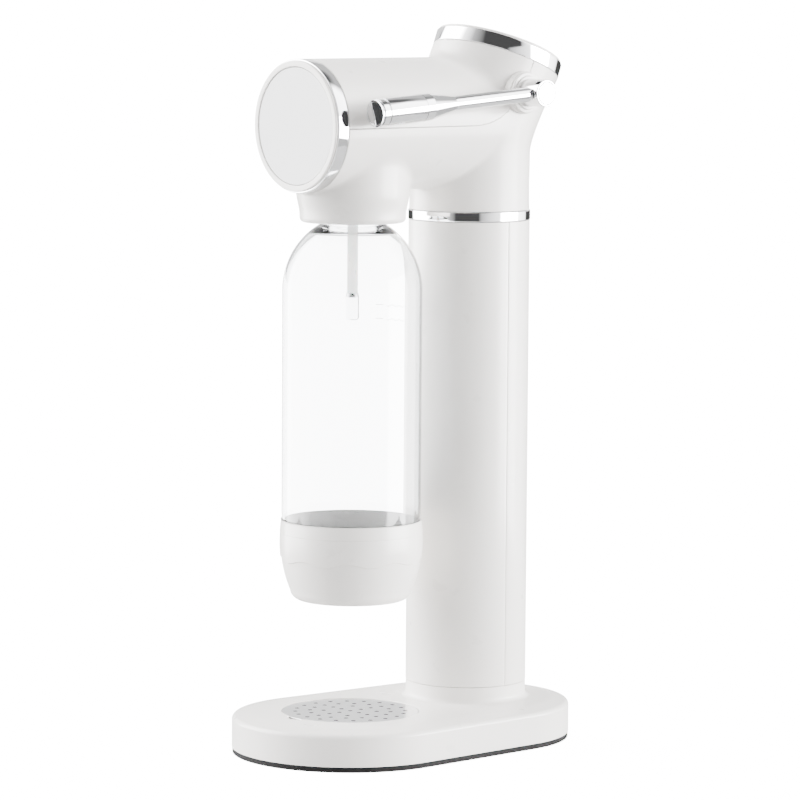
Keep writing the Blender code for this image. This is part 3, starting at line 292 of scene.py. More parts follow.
def clear_plastic():
    """The bottle's clear wall: very smooth, with a trace of flow lines from blowing."""
    made, tree, main = shader("clear_plastic", (0.84, 0.845, 0.85), 0.0, IOR=1.42,
                              Transmission_Weight=1.0)
    place = object_place(tree, scale=(1, 1, 0.35))
    spread_to(tree, noise(tree, place, 30, 2), 0.0, 0.012, main.inputs["Roughness"])
    bump(tree, main, noise(tree, place, 45, 1), 0.02, 0.0002)
    return made


def nylon_tube():
    """Natural nylon: milky, lets a little light through."""
    made, tree, main = shader("natural_nylon", (0.90, 0.90, 0.88), 0.32, IOR=1.5,
                              Transmission_Weight=0.35, Subsurface_Weight=0.2, Subsurface_Scale=0.002)
    place = object_place(tree, scale=(1, 1, 0.2))
    spread_to(tree, noise(tree, place, 400, 3), 0.26, 0.38, main.inputs["Roughness"])
    bump(tree, main, noise(tree, place, 700, 2), 0.05, 0.0001)
    return made


def satin_paint(colour):
    made, tree, main = shader("cylinder_paint", colour, 0.34, Coat_Weight=0.4, Coat_Roughness=0.2)
    place = object_place(tree)
    blend_colours(tree, noise(tree, place, 25, 4), dimmed(colour, 0.92), dimmed(colour, 1.06),
                  main.inputs["Base Color"])
    bump(tree, main, noise(tree, place, 900, 3), 0.08, 0.0001)
    return made


def line_ink():
    made, tree, main = shader("line_ink", (0.24, 0.24, 0.25), 0.5)
    place = object_place(tree)
    blend_colours(tree, noise(tree, place, 1500, 2), (0.20, 0.20, 0.21), (0.30, 0.30, 0.31),
                  main.inputs["Base Color"])
    return made


def floor_paint():
    """The pale floor: even white, a little bright in itself, like a lit sweep."""
    made, tree, main = shader("floor_paint", (0.92, 0.92, 0.92), 0.8)
    spread_to(tree, noise(tree, object_place(tree), 3, 2), 0.75, 0.85, main.inputs["Roughness"])
    return made


FINISHES = {}


def finish(name):
    """Each finish is made once, when a piece first asks for it."""
    colours = bpy.context.scene.carbonator_colours
    makers = {
        "white": lambda: moulded_plastic("white_plastic", tuple(colours.white)),
        "inner": lambda: moulded_plastic("inner_plastic", (0.80, 0.80, 0.80), 0.45, 0.10, 0.0),
        "disc": lambda: disc_plastic(tuple(colours.disc)),
        "chrome": chrome_plate,
        "steel": lambda: brushed_steel("drawn_steel", (2500, 2500, 60)),
        "grille": lambda: brushed_steel("brushed_grille", (120, 6000, 120), 0.20),
        # Painted shade: near black, for the grille holes' walls and rounded edges, which are only dark from
        # their depth
        "painted_hole_shade": lambda: black_rubber_and_hole_shade((0.006, 0.006, 0.006)),
        "brass": machined_brass,
        "rubber": lambda: black_rubber_and_hole_shade(tuple(colours.rubber)),
        "clear": clear_plastic,
        "nylon": nylon_tube,
        "paint": lambda: satin_paint(tuple(colours.cylinder)),
        "hose": lambda: moulded_plastic("hose_plastic", (0.42, 0.52, 0.68), 0.35, 0.05),
        "ink": line_ink,
        "floor": floor_paint,
    }
    if name not in FINISHES:
        FINISHES[name] = makers[name]()
    return FINISHES[name]


# ---------------------------------------------------------------- shaping


def rounded(corners, segments=5):
    """A closed outline of (x, y, radius) corners, with each corner turned into an arc."""
    points = []
    for index, (x, y, radius) in enumerate(corners):
        corner = Vector((x, y))
        before = Vector(corners[index - 1][:2]) - corner
        after = Vector(corners[(index + 1) % len(corners)][:2]) - corner
        if radius <= 0:
            points.append(corner)
            continue
        half = before.angle(after) / 2
        if half > math.radians(89):
            points.append(corner)
            continue
        reach = min(radius / math.tan(half), 0.49 * before.length, 0.49 * after.length)
        radius = reach * math.tan(half)
        start = corner + before.normalized() * reach
        centre = corner + (before.normalized() + after.normalized()).normalized() * radius / math.sin(half)
        arm = start - centre
        end_arm = corner + after.normalized() * reach - centre
        sweep = arm.angle_signed(end_arm)
        for step in range(segments + 1):
            points.append(centre + Matrix.Rotation(-sweep * step / segments, 2) @ arm)
    return [tuple(point) for point in points]


def spun(outline, steps):
    """A bmesh of a closed (radius, height) outline turned about +Z."""
    bm = bmesh.new()
    points = [bm.verts.new((max(radius, 0), 0, height)) for radius, height in outline]
    edges = [bm.edges.new((a, b)) for a, b in zip(points, points[1:] + points[:1])
             if a.co.x > 1e-7 or b.co.x > 1e-7]
    bmesh.ops.spin(bm, geom=points + edges, axis=(0, 0, 1), cent=(0, 0, 0), dvec=(0, 0, 0),
                   angle=2 * math.pi, steps=steps, use_merge=True)
    return bm


def lofted(rings, close=True):
    """Bridges equal rings of points, and closes both ends."""
    bm = bmesh.new()
    loops, ends = [], []
    for ring in rings:
        points = [bm.verts.new(point) for point in ring]
        loops.append([bm.edges.new((a, b)) for a, b in zip(points, points[1:] + points[:1])])
        ends.append(points)
    for lower, upper in zip(loops, loops[1:]):
        bmesh.ops.bridge_loops(bm, edges=lower + upper)
    if close:
        bm.faces.new(ends[0])
        bm.faces.new(ends[-1])
    return bm


def mesh_object(name, bm, sharp=30, closed=True):
    """Turns a bmesh into a smooth-shaded object whose faces point outwards."""
    bmesh.ops.remove_doubles(bm, verts=bm.verts, dist=2e-6)
    if closed:
        bmesh.ops.recalc_face_normals(bm, faces=bm.faces)
        if bm.calc_volume(signed=True) < 0:
            bmesh.ops.reverse_faces(bm, faces=bm.faces)
    mesh = bpy.data.meshes.new(name)
    bm.to_mesh(mesh)
    bm.free()
    mesh.shade_smooth()
    mesh.set_sharp_from_angle(angle=math.radians(sharp))
    made = bpy.data.objects.new(name, mesh)
    bpy.context.collection.objects.link(made)
    return made


def keep(piece, body, finish_name, slot, *nodes):
    """Gives a piece its finish, the body it rides on and the frame nodes it stands for."""
    piece.data.materials.clear()
    piece.data.materials.append(finish(finish_name))
    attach(piece, body)
    if nodes:
        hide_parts(*nodes)
    return piece


def placed(bm, matrix):
    bmesh.ops.transform(bm, matrix=matrix, verts=bm.verts)
    return bm


def along_x(place):
    """Carries +Z onto +X at a place."""
    return Matrix.Translation(place) @ Matrix.Rotation(math.radians(90), 4, "Y")


def turned(name, corners, place=None, steps=None, segments=5):
    """A turned piece of rounded (radius, height, rounding) corners."""
    steps = steps or bpy.context.scene.carbonator_sizes.facets
    bm = spun(rounded(corners, segments), steps)
    if place is not None:
        placed(bm, place)
    return mesh_object(name, bm)


def ring_corners(inner, outer, low, high, edge):
    return [(inner, low, edge), (outer, low, edge), (outer, high, edge), (inner, high, edge)]


def rod_corners(radius, low, high, edge):
    return [(0, low, 0), (radius, low, edge), (radius, high, edge), (0, high, 0)]


def carve(piece, tool, operation="DIFFERENCE"):
    """Applies an exact Boolean and removes the tool."""
    modifier = piece.modifiers.new("cut", "BOOLEAN")
    modifier.operation = operation
    modifier.object = tool
    modifier.solver = "EXACT"
    graph = bpy.context.evaluated_depsgraph_get()
    mesh = bpy.data.meshes.new_from_object(piece.evaluated_get(graph))
    piece.modifiers.clear()
    old = piece.data
    piece.data = mesh
    bpy.data.meshes.remove(old)
    mesh.name = piece.name
    bpy.data.objects.remove(tool)


def even_shading(piece, sharp=30):
    """Smooth shading that keeps large flat faces flat."""
    piece.data.shade_smooth()
    piece.data.set_sharp_from_angle(angle=math.radians(sharp))
    modifier = piece.modifiers.new("even_shading", "WEIGHTED_NORMAL")
    modifier.keep_sharp = True


def wrapped_outline(first_y, first_radius, second_y, second_radius, steps):
    """The taut outline round two circles on the Y axis, as (x, y) points."""
    lean = math.asin((first_radius - second_radius) / (second_y - first_y))
    points = []
    for centre, radius, start, sweep in ((second_y, second_radius, lean, math.pi - 2 * lean),
                                         (first_y, first_radius, math.pi - lean, math.pi + 2 * lean)):
        for step in range(steps + 1):
            angle = start + sweep * step / steps
            points.append((radius * math.cos(angle), centre + radius * math.sin(angle)))
    return points


FRONT_RADIUS = -BASE_LOW.x
BASE_FRONT_Y = BASE_LOW.y + FRONT_RADIUS
BASE_REAR_Y = COLUMN_Y - 0.0033
REAR_RADIUS = BASE_HIGH.y - BASE_REAR_Y


def base_ring(inset, height, steps=56):
    outline = wrapped_outline(BASE_FRONT_Y, FRONT_RADIUS - inset, BASE_REAR_Y, REAR_RADIUS - inset, steps)
    return [(x, y, height) for x, y in outline]


# ---------------------------------------------------------------- the head's skin


NECK_START_RISE = 0.0360
NECK_KNEE_RISE = 0.0520
NECK_TOP_RISE = 0.08975
NECK_TOP_SHIFT = 0.02025
NECK_TOP_RADIUS = 0.0397
COLLAR_RADIUS = 0.0320


def neck_section(share):
    """Centre, tilt and radius of the neck: share 0 is the start of its bend and 1 its top edge."""
    bend = np.clip(share, 0, None)
    knee = NECK_KNEE_RISE
    rise = (1 - bend) ** 2 * NECK_START_RISE + 2 * bend * (1 - bend) * knee + bend ** 2 * NECK_TOP_RISE
    rise = rise + np.minimum(share, 0) * 0.06
    tilt = NECK_TILT * bend
    radius = COLUMN_RADIUS - 0.0001 + (NECK_TOP_RADIUS - COLUMN_RADIUS + 0.0001) * bend
    radius = radius - 0.0003 * np.exp(-((rise - 0.0130) / 0.0120) ** 2)
    return COLUMN_Y + bend ** 2 * NECK_TOP_SHIFT, HEAD_BOTTOM + rise, tilt, radius


def neck_distance(points):
    """Distance outside the neck, and the outward direction, by finding each point's own section."""
    low = np.full(len(points), -0.8)
    high = np.full(len(points), 1.25)
    for _ in range(24):
        share = (low + high) / 2
        y, z, tilt, _radius = neck_section(share)
        ahead = (points[:, 1] - y) * np.sin(tilt) + (points[:, 2] - z) * np.cos(tilt)
        low = np.where(ahead > 0, share, low)
        high = np.where(ahead > 0, high, share)
    y, z, tilt, radius = neck_section((low + high) / 2)
    across = (points[:, 1] - y) * np.cos(tilt) - (points[:, 2] - z) * np.sin(tilt)
    reach = np.hypot(points[:, 0], across) + 1e-9
    out = np.stack([points[:, 0] / reach, across / reach * np.cos(tilt), -across / reach * np.sin(tilt)], 1)
    return reach - radius, out


def barrel_radius(y):
    fade = np.clip((y - (COLUMN_Y - 0.0324)) / 0.038, 0, 1.3)
    return BARREL_RADIUS * (1 - 0.05 * fade ** 1.6)


def barrel_distance(points):
    rise = points[:, 2] - BARREL_Z
    reach = np.hypot(points[:, 0], rise) + 1e-9
    out = np.stack([points[:, 0] / reach, np.zeros(len(points)), rise / reach], 1)
    distance = reach - barrel_radius(points[:, 1])
    behind = points[:, 1] - (COLUMN_Y + 0.0080)
    return np.maximum(distance, behind), out


def collar_radius(height):
    """The collar's radius by height above its lip: a round lip, then a slow widening."""
    lip = 0.0030
    inside = np.clip((lip - height) / lip, 0, 1)
    share = np.clip((height - 0.0040) / 0.0150, 0, 1)
    widening = 0.0022 * share ** 2 * (3 - 2 * share)
    return COLLAR_RADIUS - lip * (1 - np.sqrt(1 - inside ** 2)) + widening


def collar_distance(points):
    height = points[:, 2] - COLLAR_BOTTOM
    reach = np.hypot(points[:, 0], points[:, 1])
    distance = reach - collar_radius(height)
    return np.maximum(distance, np.maximum(-height, points[:, 2] - BARREL_Z))


def melt(first, second, reach):
    """The smaller of two distances, rounded where they come within reach of each other."""
    near = np.maximum(reach - np.abs(first - second), 0) / reach
    return np.minimum(first, second) - near ** 2 * reach / 4


def head_distance(points):
    sizes = bpy.context.scene.carbonator_sizes
    neck, neck_out = neck_distance(points)
    barrel, barrel_out = barrel_distance(points)
    opening = np.clip(1 - (neck_out * barrel_out).sum(1), 0, 1)
    climb = np.clip((points[:, 2] - BARREL_Z + 0.012) / 0.030, 0, 1)
    widest = sizes.crease_fillet + (sizes.nape_fillet - sizes.crease_fillet) * climb
    body = melt(neck, barrel, 0.0012 + (widest - 0.0012) * opening)
    return melt(body, collar_distance(points), sizes.collar_fillet)


def circle(centre, radius, first, second, steps=72):
    return [centre + radius * (math.cos(angle) * first + math.sin(angle) * second)
            for angle in (2 * math.pi * step / steps for step in range(steps))]


def head_skin():
    """A fine even skin over neck, barrel and collar, drawn onto the smooth head surface."""
    x_axis, y_axis, z_axis = Vector((1, 0, 0)), Vector((0, 1, 0)), Vector((0, 0, 1))
    rings = []
    for step in range(-2, 12):
        y, z, tilt, radius = (float(value) for value in neck_section(np.float64(step / 10)))
        rings.append(circle(Vector((0, y, z)), radius, x_axis,
                            Vector((0, math.cos(tilt), -math.sin(tilt)))))
    low = Vector((0, COLUMN_Y, HEAD_BOTTOM - 0.0080))
    rings.insert(0, circle(low, COLUMN_RADIUS, x_axis, y_axis))
    neck = mesh_object("head_neck", lofted(rings))
    stations = (BARREL_FRONT_Y - 0.0080, COLUMN_Y - 0.0324, COLUMN_Y - 0.0124, COLUMN_Y + 0.0056)
    barrel = mesh_object("head_barrel", lofted(
        [circle(Vector((0, y, BARREL_Z)), float(barrel_radius(np.float64(y))), x_axis, z_axis)
         for y in stations]))
    heights = [0, 0.0004, 0.0010, 0.0018, 0.0030, 0.0070, 0.0110, 0.0150, 0.0190, 0.0500]
    outline = [(0, COLLAR_BOTTOM)]
    outline += [(float(collar_radius(np.float64(height))), COLLAR_BOTTOM + height) for height in heights]
    outline.append((0, COLLAR_BOTTOM + heights[-1]))
    collar = mesh_object("head_collar", spun(outline, 72))
    carve(neck, barrel, "UNION")
    carve(neck, collar, "UNION")
    remesh = neck.modifiers.new("even_skin", "REMESH")
    remesh.mode = "VOXEL"
    remesh.voxel_size = bpy.context.scene.carbonator_sizes.skin_step
    graph = bpy.context.evaluated_depsgraph_get()
    bm = bmesh.new()
    bm.from_mesh(neck.evaluated_get(graph).to_mesh())
    bpy.data.objects.remove(neck)
    draw_onto_surface(bm)
    return bm


def draw_onto_surface(bm):
    """Moves every point straight onto the head's surface; the flat ends outside it are cut off later."""
    points = np.array([vert.co for vert in bm.verts])
    step = 2e-5
    for _ in range(5):
        distance = head_distance(points)
        slope = np.stack([(head_distance(points + step * axis) - head_distance(points - step * axis))
                          / (2 * step) for axis in np.eye(3)], 1)
        slope /= np.maximum((slope ** 2).sum(1, keepdims=True), 0.25)
        points -= np.clip(distance, -0.001, 0.001)[:, None] * slope
    for vert, point in zip(bm.verts, points):
        vert.co = point


def slice_faces(bm, chosen, place, normal, clear=False):
    """Cuts only the chosen faces with a plane, and clears what lies on the normal's side."""
    faces = [face for face in bm.faces if chosen(face.calc_center_median())]
    verts = list({vert for face in faces for vert in face.verts})
    edges = list({edge for face in faces for edge in face.edges})
    bmesh.ops.bisect_plane(bm, geom=verts + edges + faces, plane_co=place, plane_no=normal,
                           clear_outer=clear)


def open_ends(bm):
    """Cuts the skin square at the barrel's front, the neck's top, the column ring and the collar's lip."""
    top_y, top_z, tilt, _radius = neck_section(np.float64(1.0))
    top = Vector((0, float(top_y), float(top_z)))
    lean = Vector((0, math.sin(float(tilt)), math.cos(float(tilt))))
    slice_faces(bm, lambda p: p.y < BARREL_FRONT_Y + 0.004, (0, BARREL_FRONT_Y, 0), (0, -1, 0), True)
    slice_faces(bm, lambda p: (p - top).dot(lean) > -0.004, top, lean, True)
    slice_faces(bm, lambda p: p.y > 0.050 and p.z < HEAD_BOTTOM + 0.004,
                (0, 0, HEAD_BOTTOM), (0, 0, -1), True)
    lip = COLLAR_BOTTOM + 0.0001
    slice_faces(bm, lambda p: p.y < 0.045 and p.z < lip + 0.002, (0, 0, lip), (0, 0, -1), True)


def seam_line():
    """The joint between the head's shells, seen from the side, as (y, z) points from front to back."""
    level = BARREL_Z - 0.0006
    start = Vector((COLUMN_Y - 0.0300, level, 0))
    end = Vector((SHAFT.y, SHAFT.z, 0))
    curve = geometry.interpolate_bezier(start, start + Vector((0.0190, 0, 0)),
                                        end - Vector((0.0095, 0.0110, 0)), end, 14)
    line = [(-0.06, level)] + [(point.x, point.y) for point in curve]
    rise = Vector((math.sin(NECK_TILT), math.cos(NECK_TILT)))
    line.append((SHAFT.y + rise.x * 0.060, SHAFT.z + rise.y * 0.060))
    return line


def shell_half(skin, above):
    """One shell of the head: the skin cut along the seam, with half the seam's gap taken away."""
    gap = bpy.context.scene.carbonator_sizes.seam_gap / 2
    side = 1 if above else -1
    line = []
    points = seam_line()
    for index, (y, z) in enumerate(points):
        ahead = Vector(points[min(index + 1, len(points) - 1)])
        before = Vector(points[max(index - 1, 0)])
        run = (ahead - before).normalized()
        line.append((y - side * gap * run.y, z + side * gap * run.x))
    bm = skin.copy()
    margin = 0.0015
    for (y0, z0), (y1, z1) in zip(line, line[1:]):
        normal = Vector((0, -(z1 - z0), y1 - y0)).normalized()
        place = Vector((0, y0, z0))
        slice_faces(bm, lambda p: y0 - margin < p.y < y1 + margin and abs((p - place).dot(normal)) < 0.003,
                    place, normal)
    ys, zs = [y for y, _z in line], [z for _y, z in line]
    wrong = []
    for face in bm.faces:
        centre = face.calc_center_median()
        if (centre.z > np.interp(centre.y, ys, zs, right=1.0)) != above:
            wrong.append(face)
    bmesh.ops.delete(bm, geom=wrong, context="FACES")
    return bm


def add_wall(piece, thickness):
    modifier = piece.modifiers.new("wall", "SOLIDIFY")
    modifier.thickness = thickness
    modifier.offset = -1
    modifier.use_rim = True


def body_of(node_name):
    for body, nodes in frame["record"]["behaviour"]["bodies"].items():
        if node_name in nodes:
            return body
    raise ValueError(node_name)


# ---------------------------------------------------------------- operators


class CARBONATOR_OT_base(bpy.types.Operator):
    """Build the long base with its rounded shoulder, tray well, finger notch and column foot"""
    bl_idname = "carbonator.base"
    bl_label = "Base"
    bl_options = {"REGISTER", "UNDO"}

    def execute(self, context):
        sizes = context.scene.carbonator_sizes
        bottom = BASE_LOW.z
        side = rounded([(0, bottom, 0.0002), (0, 0.0224, 0.0031), (0.0120, 0.0247, 0.0300),
                        (0.0200, BASE_TOP, 0.0200), (0.0300, BASE_TOP, 0), (0.0300, bottom, 0)], 8)
        rings = [base_ring(inset, height) for inset, height in side if inset < 0.0295]
        shell = mesh_object("base_shell_skin", lofted(rings))
        fillet = 0.0031
        foot = [(0, 0.0200), (COLUMN_RADIUS + fillet + 0.0002, 0.0200)]
        for step in range(9):
            angle = math.radians(90) * step / 8
            foot.append((COLUMN_RADIUS + fillet * (1 - math.sin(angle)) + 0.0001 * (1 - step / 8),
                         BASE_TOP - 0.00005 + fillet * (1 - math.cos(angle))))
        foot += [(COLUMN_RADIUS, BASE_HIGH.z - 0.0003), (COLUMN_RADIUS - 0.0003, BASE_HIGH.z),
                 (0, BASE_HIGH.z)]
        carve(shell, mesh_object("foot", placed(spun(foot, sizes.facets), self.column())), "UNION")
        well = TRAY_RADIUS + GAP
        notch_y = -(well - NOTCH_RADIUS + NOTCH_REACH)
        for name, radius, y, floor in (("well", well, 0, 0.0085), ("notch", NOTCH_RADIUS, notch_y, 0.0175)):
            flare = [(0, floor), (radius, floor)]
            for step in range(7):
                angle = math.radians(90) * step / 6
                flare.append((radius + 0.0006 * (1 - math.cos(angle)),
                              BASE_TOP - 0.0006 + 0.00061 * math.sin(angle)))
            flare += [(radius + 0.0006, 0.0400), (0, 0.0400)]
            tool = spun(flare, sizes.facets if name == "well" else 48)
            carve(shell, mesh_object(name, placed(tool, Matrix.Translation((0, y, 0)))))
        bore = spun([(0, -0.01), (COLUMN_RADIUS - WALL, -0.01), (COLUMN_RADIUS - WALL, 0.05), (0, 0.05)],
                    sizes.facets)
        carve(shell, mesh_object("bore", placed(bore, self.column())))
        even_shading(shell)
        keep(shell, "housing", "white", "white_plastic", "base_shell")
        low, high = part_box("foot_pad")
        pad_side = rounded([(0.0003, low.z, 0.0004), (0.0003, high.z, 0.0002), (0.03, high.z, 0),
                            (0.03, low.z, 0)], 4)
        pad = mesh_object("foot_pad_skin", lofted(
            [base_ring(inset, height) for inset, height in pad_side if inset < 0.0295]))
        for number in range(1, 5):
            spot = middle(f"base_screw_{number}")
            hole = spun(rod_corners_flat(0.0040, -0.001, 0.006), 32)
            carve(pad, mesh_object("hole", placed(hole, Matrix.Translation((spot.x, spot.y, 0)))))
        even_shading(pad)
        keep(pad, "housing", "rubber", "rubber", "foot_pad")
        return {"FINISHED"}

    @staticmethod
    def column():
        return Matrix.Translation((0, COLUMN_Y, 0))


def rod_corners_flat(radius, low, high):
    return [(0, low), (radius, low), (radius, high), (0, high)]


class CARBONATOR_OT_tray(bpy.types.Operator):
    """Build the drip tray and the perforated disc that lies on it"""
    bl_idname = "carbonator.tray"
    bl_label = "Tray and grille"
    bl_options = {"REGISTER", "UNDO"}

    def execute(self, context):
        low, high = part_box("drip_tray")
        wall = TRAY_WALL
        tray = turned("drip_tray_dish", [
            (0, low.z, 0), (TRAY_RADIUS, low.z, 0.0020), (TRAY_RADIUS, high.z, 0.0003),
            (TRAY_RADIUS - wall, high.z, 0.0003), (TRAY_RADIUS - wall, low.z + wall, 0.0010),
            (0, low.z + wall, 0)])
        keep(tray, body_of("drip_tray"), "inner", "inner_plastic", "drip_tray")
        low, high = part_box("drip_grille")
        grille = turned("drip_grille_disc", rod_corners(TRAY_RADIUS, low.z, high.z, 0.0003), steps=160)
        holes = bmesh.new()
        for count, radius in GRILLE_HOLE_RINGS:
            for number in range(count):
                angle = 2 * math.pi * number / count
                spot = Matrix.Translation((radius * math.cos(angle), radius * math.sin(angle), low.z))
                bmesh.ops.create_cone(holes, cap_ends=True, segments=24, depth=0.0100,
                                      radius1=GRILLE_HOLE_RADIUS, radius2=GRILLE_HOLE_RADIUS,
                                      matrix=spot)
        carve(grille, mesh_object("holes", holes))
        bm = bmesh.new()
        bm.from_mesh(grille.data)
        top_edges = [edge for edge in bm.edges
                     if all(vert.co.z > high.z - 1e-6 and vert.co.xy.length < 0.036 for vert in edge.verts)
                     and edge.calc_face_angle(0) > 1]
        bmesh.ops.bevel(bm, geom=top_edges, affect="EDGES", offset=0.00008, segments=2, profile=0.5,
                        material=-1)
        bm.to_mesh(grille.data)
        bm.free()
        even_shading(grille, 40)
        keep(grille, body_of("drip_grille"), "grille", "steel", "drip_grille")
        # The second material paints shade on the holes' walls and their rounded edges: near black, where the
        # holes are only dark from their depth
        grille.data.materials.append(finish("painted_hole_shade"))
        for face in grille.data.polygons:
            if abs(face.normal.z) < 0.95 and face.center.xy.length < GRILLE_PLAIN_RIM:
                face.material_index = 1
        return {"FINISHED"}


class CARBONATOR_OT_column(bpy.types.Operator):
    """Build the column's front shell, its rear cover and the chrome ring"""
    bl_idname = "carbonator.column"
    bl_label = "Column"
    bl_options = {"REGISTER", "UNDO"}

    def execute(self, context):
        sizes = context.scene.carbonator_sizes
        low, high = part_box("column_shell")
        for name, side, node_name in (("column_front", -1, "column_shell"),
                                      ("column_rear", 1, "rear_cover")):
            bm = self.half_tube(sizes, low.z, high.z, side)
            place = Matrix.Translation((0, COLUMN_Y + side * GAP / 2, 0))
            shell = mesh_object(name, placed(bm, place))
            keep(shell, body_of(node_name), "white", "white_plastic", node_name)
        ring = turned("column_ring_plate", ring_corners(
            COLUMN_RADIUS - WALL, spread("column_ring").x / 2, RING_LOW.z, RING_HIGH.z, 0.0005),
            Matrix.Translation((0, COLUMN_Y, 0)))
        keep(ring, "housing", "chrome", "chrome", "column_ring")
        return {"FINISHED"}

    @staticmethod
    def half_tube(sizes, low, high, side):
        bm = bmesh.new()
        outline = rounded(ring_corners(COLUMN_RADIUS - WALL, COLUMN_RADIUS, low, high, 0.00025), 3)
        points = [bm.verts.new((radius, 0, height)) for radius, height in outline]
        edges = [bm.edges.new((a, b)) for a, b in zip(points, points[1:] + points[:1])]
        bmesh.ops.spin(bm, geom=points + edges, axis=(0, 0, side), cent=(0, 0, 0), dvec=(0, 0, 0),
                       angle=math.pi, steps=sizes.facets // 2)
        rims = bmesh.ops.holes_fill(bm, edges=[edge for edge in bm.edges if edge.is_boundary])
        ends = [edge for face in rims["faces"] for edge in face.edges]
        bmesh.ops.bevel(bm, geom=ends, affect="EDGES", offset=0.0002, segments=2, profile=0.5,
                        material=-1)
        return bm


class CARBONATOR_OT_head(bpy.types.Operator):
    """Build the two shells of the head from one smooth skin, split along the seam"""
    bl_idname = "carbonator.head"
    bl_label = "Head shells"
    bl_options = {"REGISTER", "UNDO"}

    def execute(self, context):
        skin = head_skin()
        open_ends(skin)
        for name, above, node_name in (("head_upper", True, "head_upper_shell"),
                                       ("head_lower", False, "head_lower_shell")):
            shell = mesh_object(name, shell_half(skin, above), 40, closed=False)
            add_wall(shell, WALL)
            keep(shell, "housing", "white", "white_plastic", node_name)
        skin.free()
        pad = turned("lever_pad", [(0.0064, 0.0330, 0), (0.0130, 0.0330, 0), (0.0130, PAD_FACE_X, 0.0008),
                                   (0.0064, PAD_FACE_X, 0)], along_x((0, SHAFT.y, SHAFT.z)), 96)
        keep(pad, "housing", "white", "white_plastic")
        return {"FINISHED"}


class CARBONATOR_OT_end_caps(bpy.types.Operator):
    """Build the chrome bands, the white rims and the pale discs at the barrel's front and the neck's top"""
    bl_idname = "carbonator.end_caps"
    bl_label = "Bands and discs"
    bl_options = {"REGISTER", "UNDO"}

    def execute(self, context):
        front = (Matrix.Translation((0, BARREL_FRONT_Y, BARREL_Z))
                 @ Matrix.Rotation(math.radians(90), 4, "X"))
        y, z, tilt, _radius = (float(value) for value in neck_section(np.float64(1.0)))
        top = Matrix.Translation((0, y, z)) @ Matrix.Rotation(-tilt, 4, "X")
        for end, place, width, radius in (("front", front, 0.0079, BARREL_RADIUS),
                                          ("top", top, 0.0089, NECK_TOP_RADIUS + 0.0001)):
            inner = radius - 0.0024
            band = turned(f"{end}_band_plate", ring_corners(inner, radius, GAP, width, 0.0005), place)
            keep(band, "housing", "chrome", "chrome", f"{end}_band")
            rim, face = width + 0.0001, width + GAP + 0.0013
            outer, opening = radius - 0.0009, radius - 0.0046
            bezel = turned(f"{end}_bezel_rim", [
                (opening, GAP, 0), (inner - GAP, GAP, 0), (inner - GAP, rim, 0), (outer, rim, 0.0002),
                (outer, face, 0.0011), (opening, face, 0.0006)], place, segments=7)
            keep(bezel, "housing", "white", "white_plastic", f"{end}_bezel")
            disc_top = face - 0.0005
            disc = turned(f"{end}_disc_plate", rod_corners(opening - 0.00035, disc_top - 0.0025, disc_top,
                                                           0.0003), place)
            even_shading(disc)
            keep(disc, "housing", "disc", "disc_plastic", f"{end}_disc")
        return {"FINISHED"}


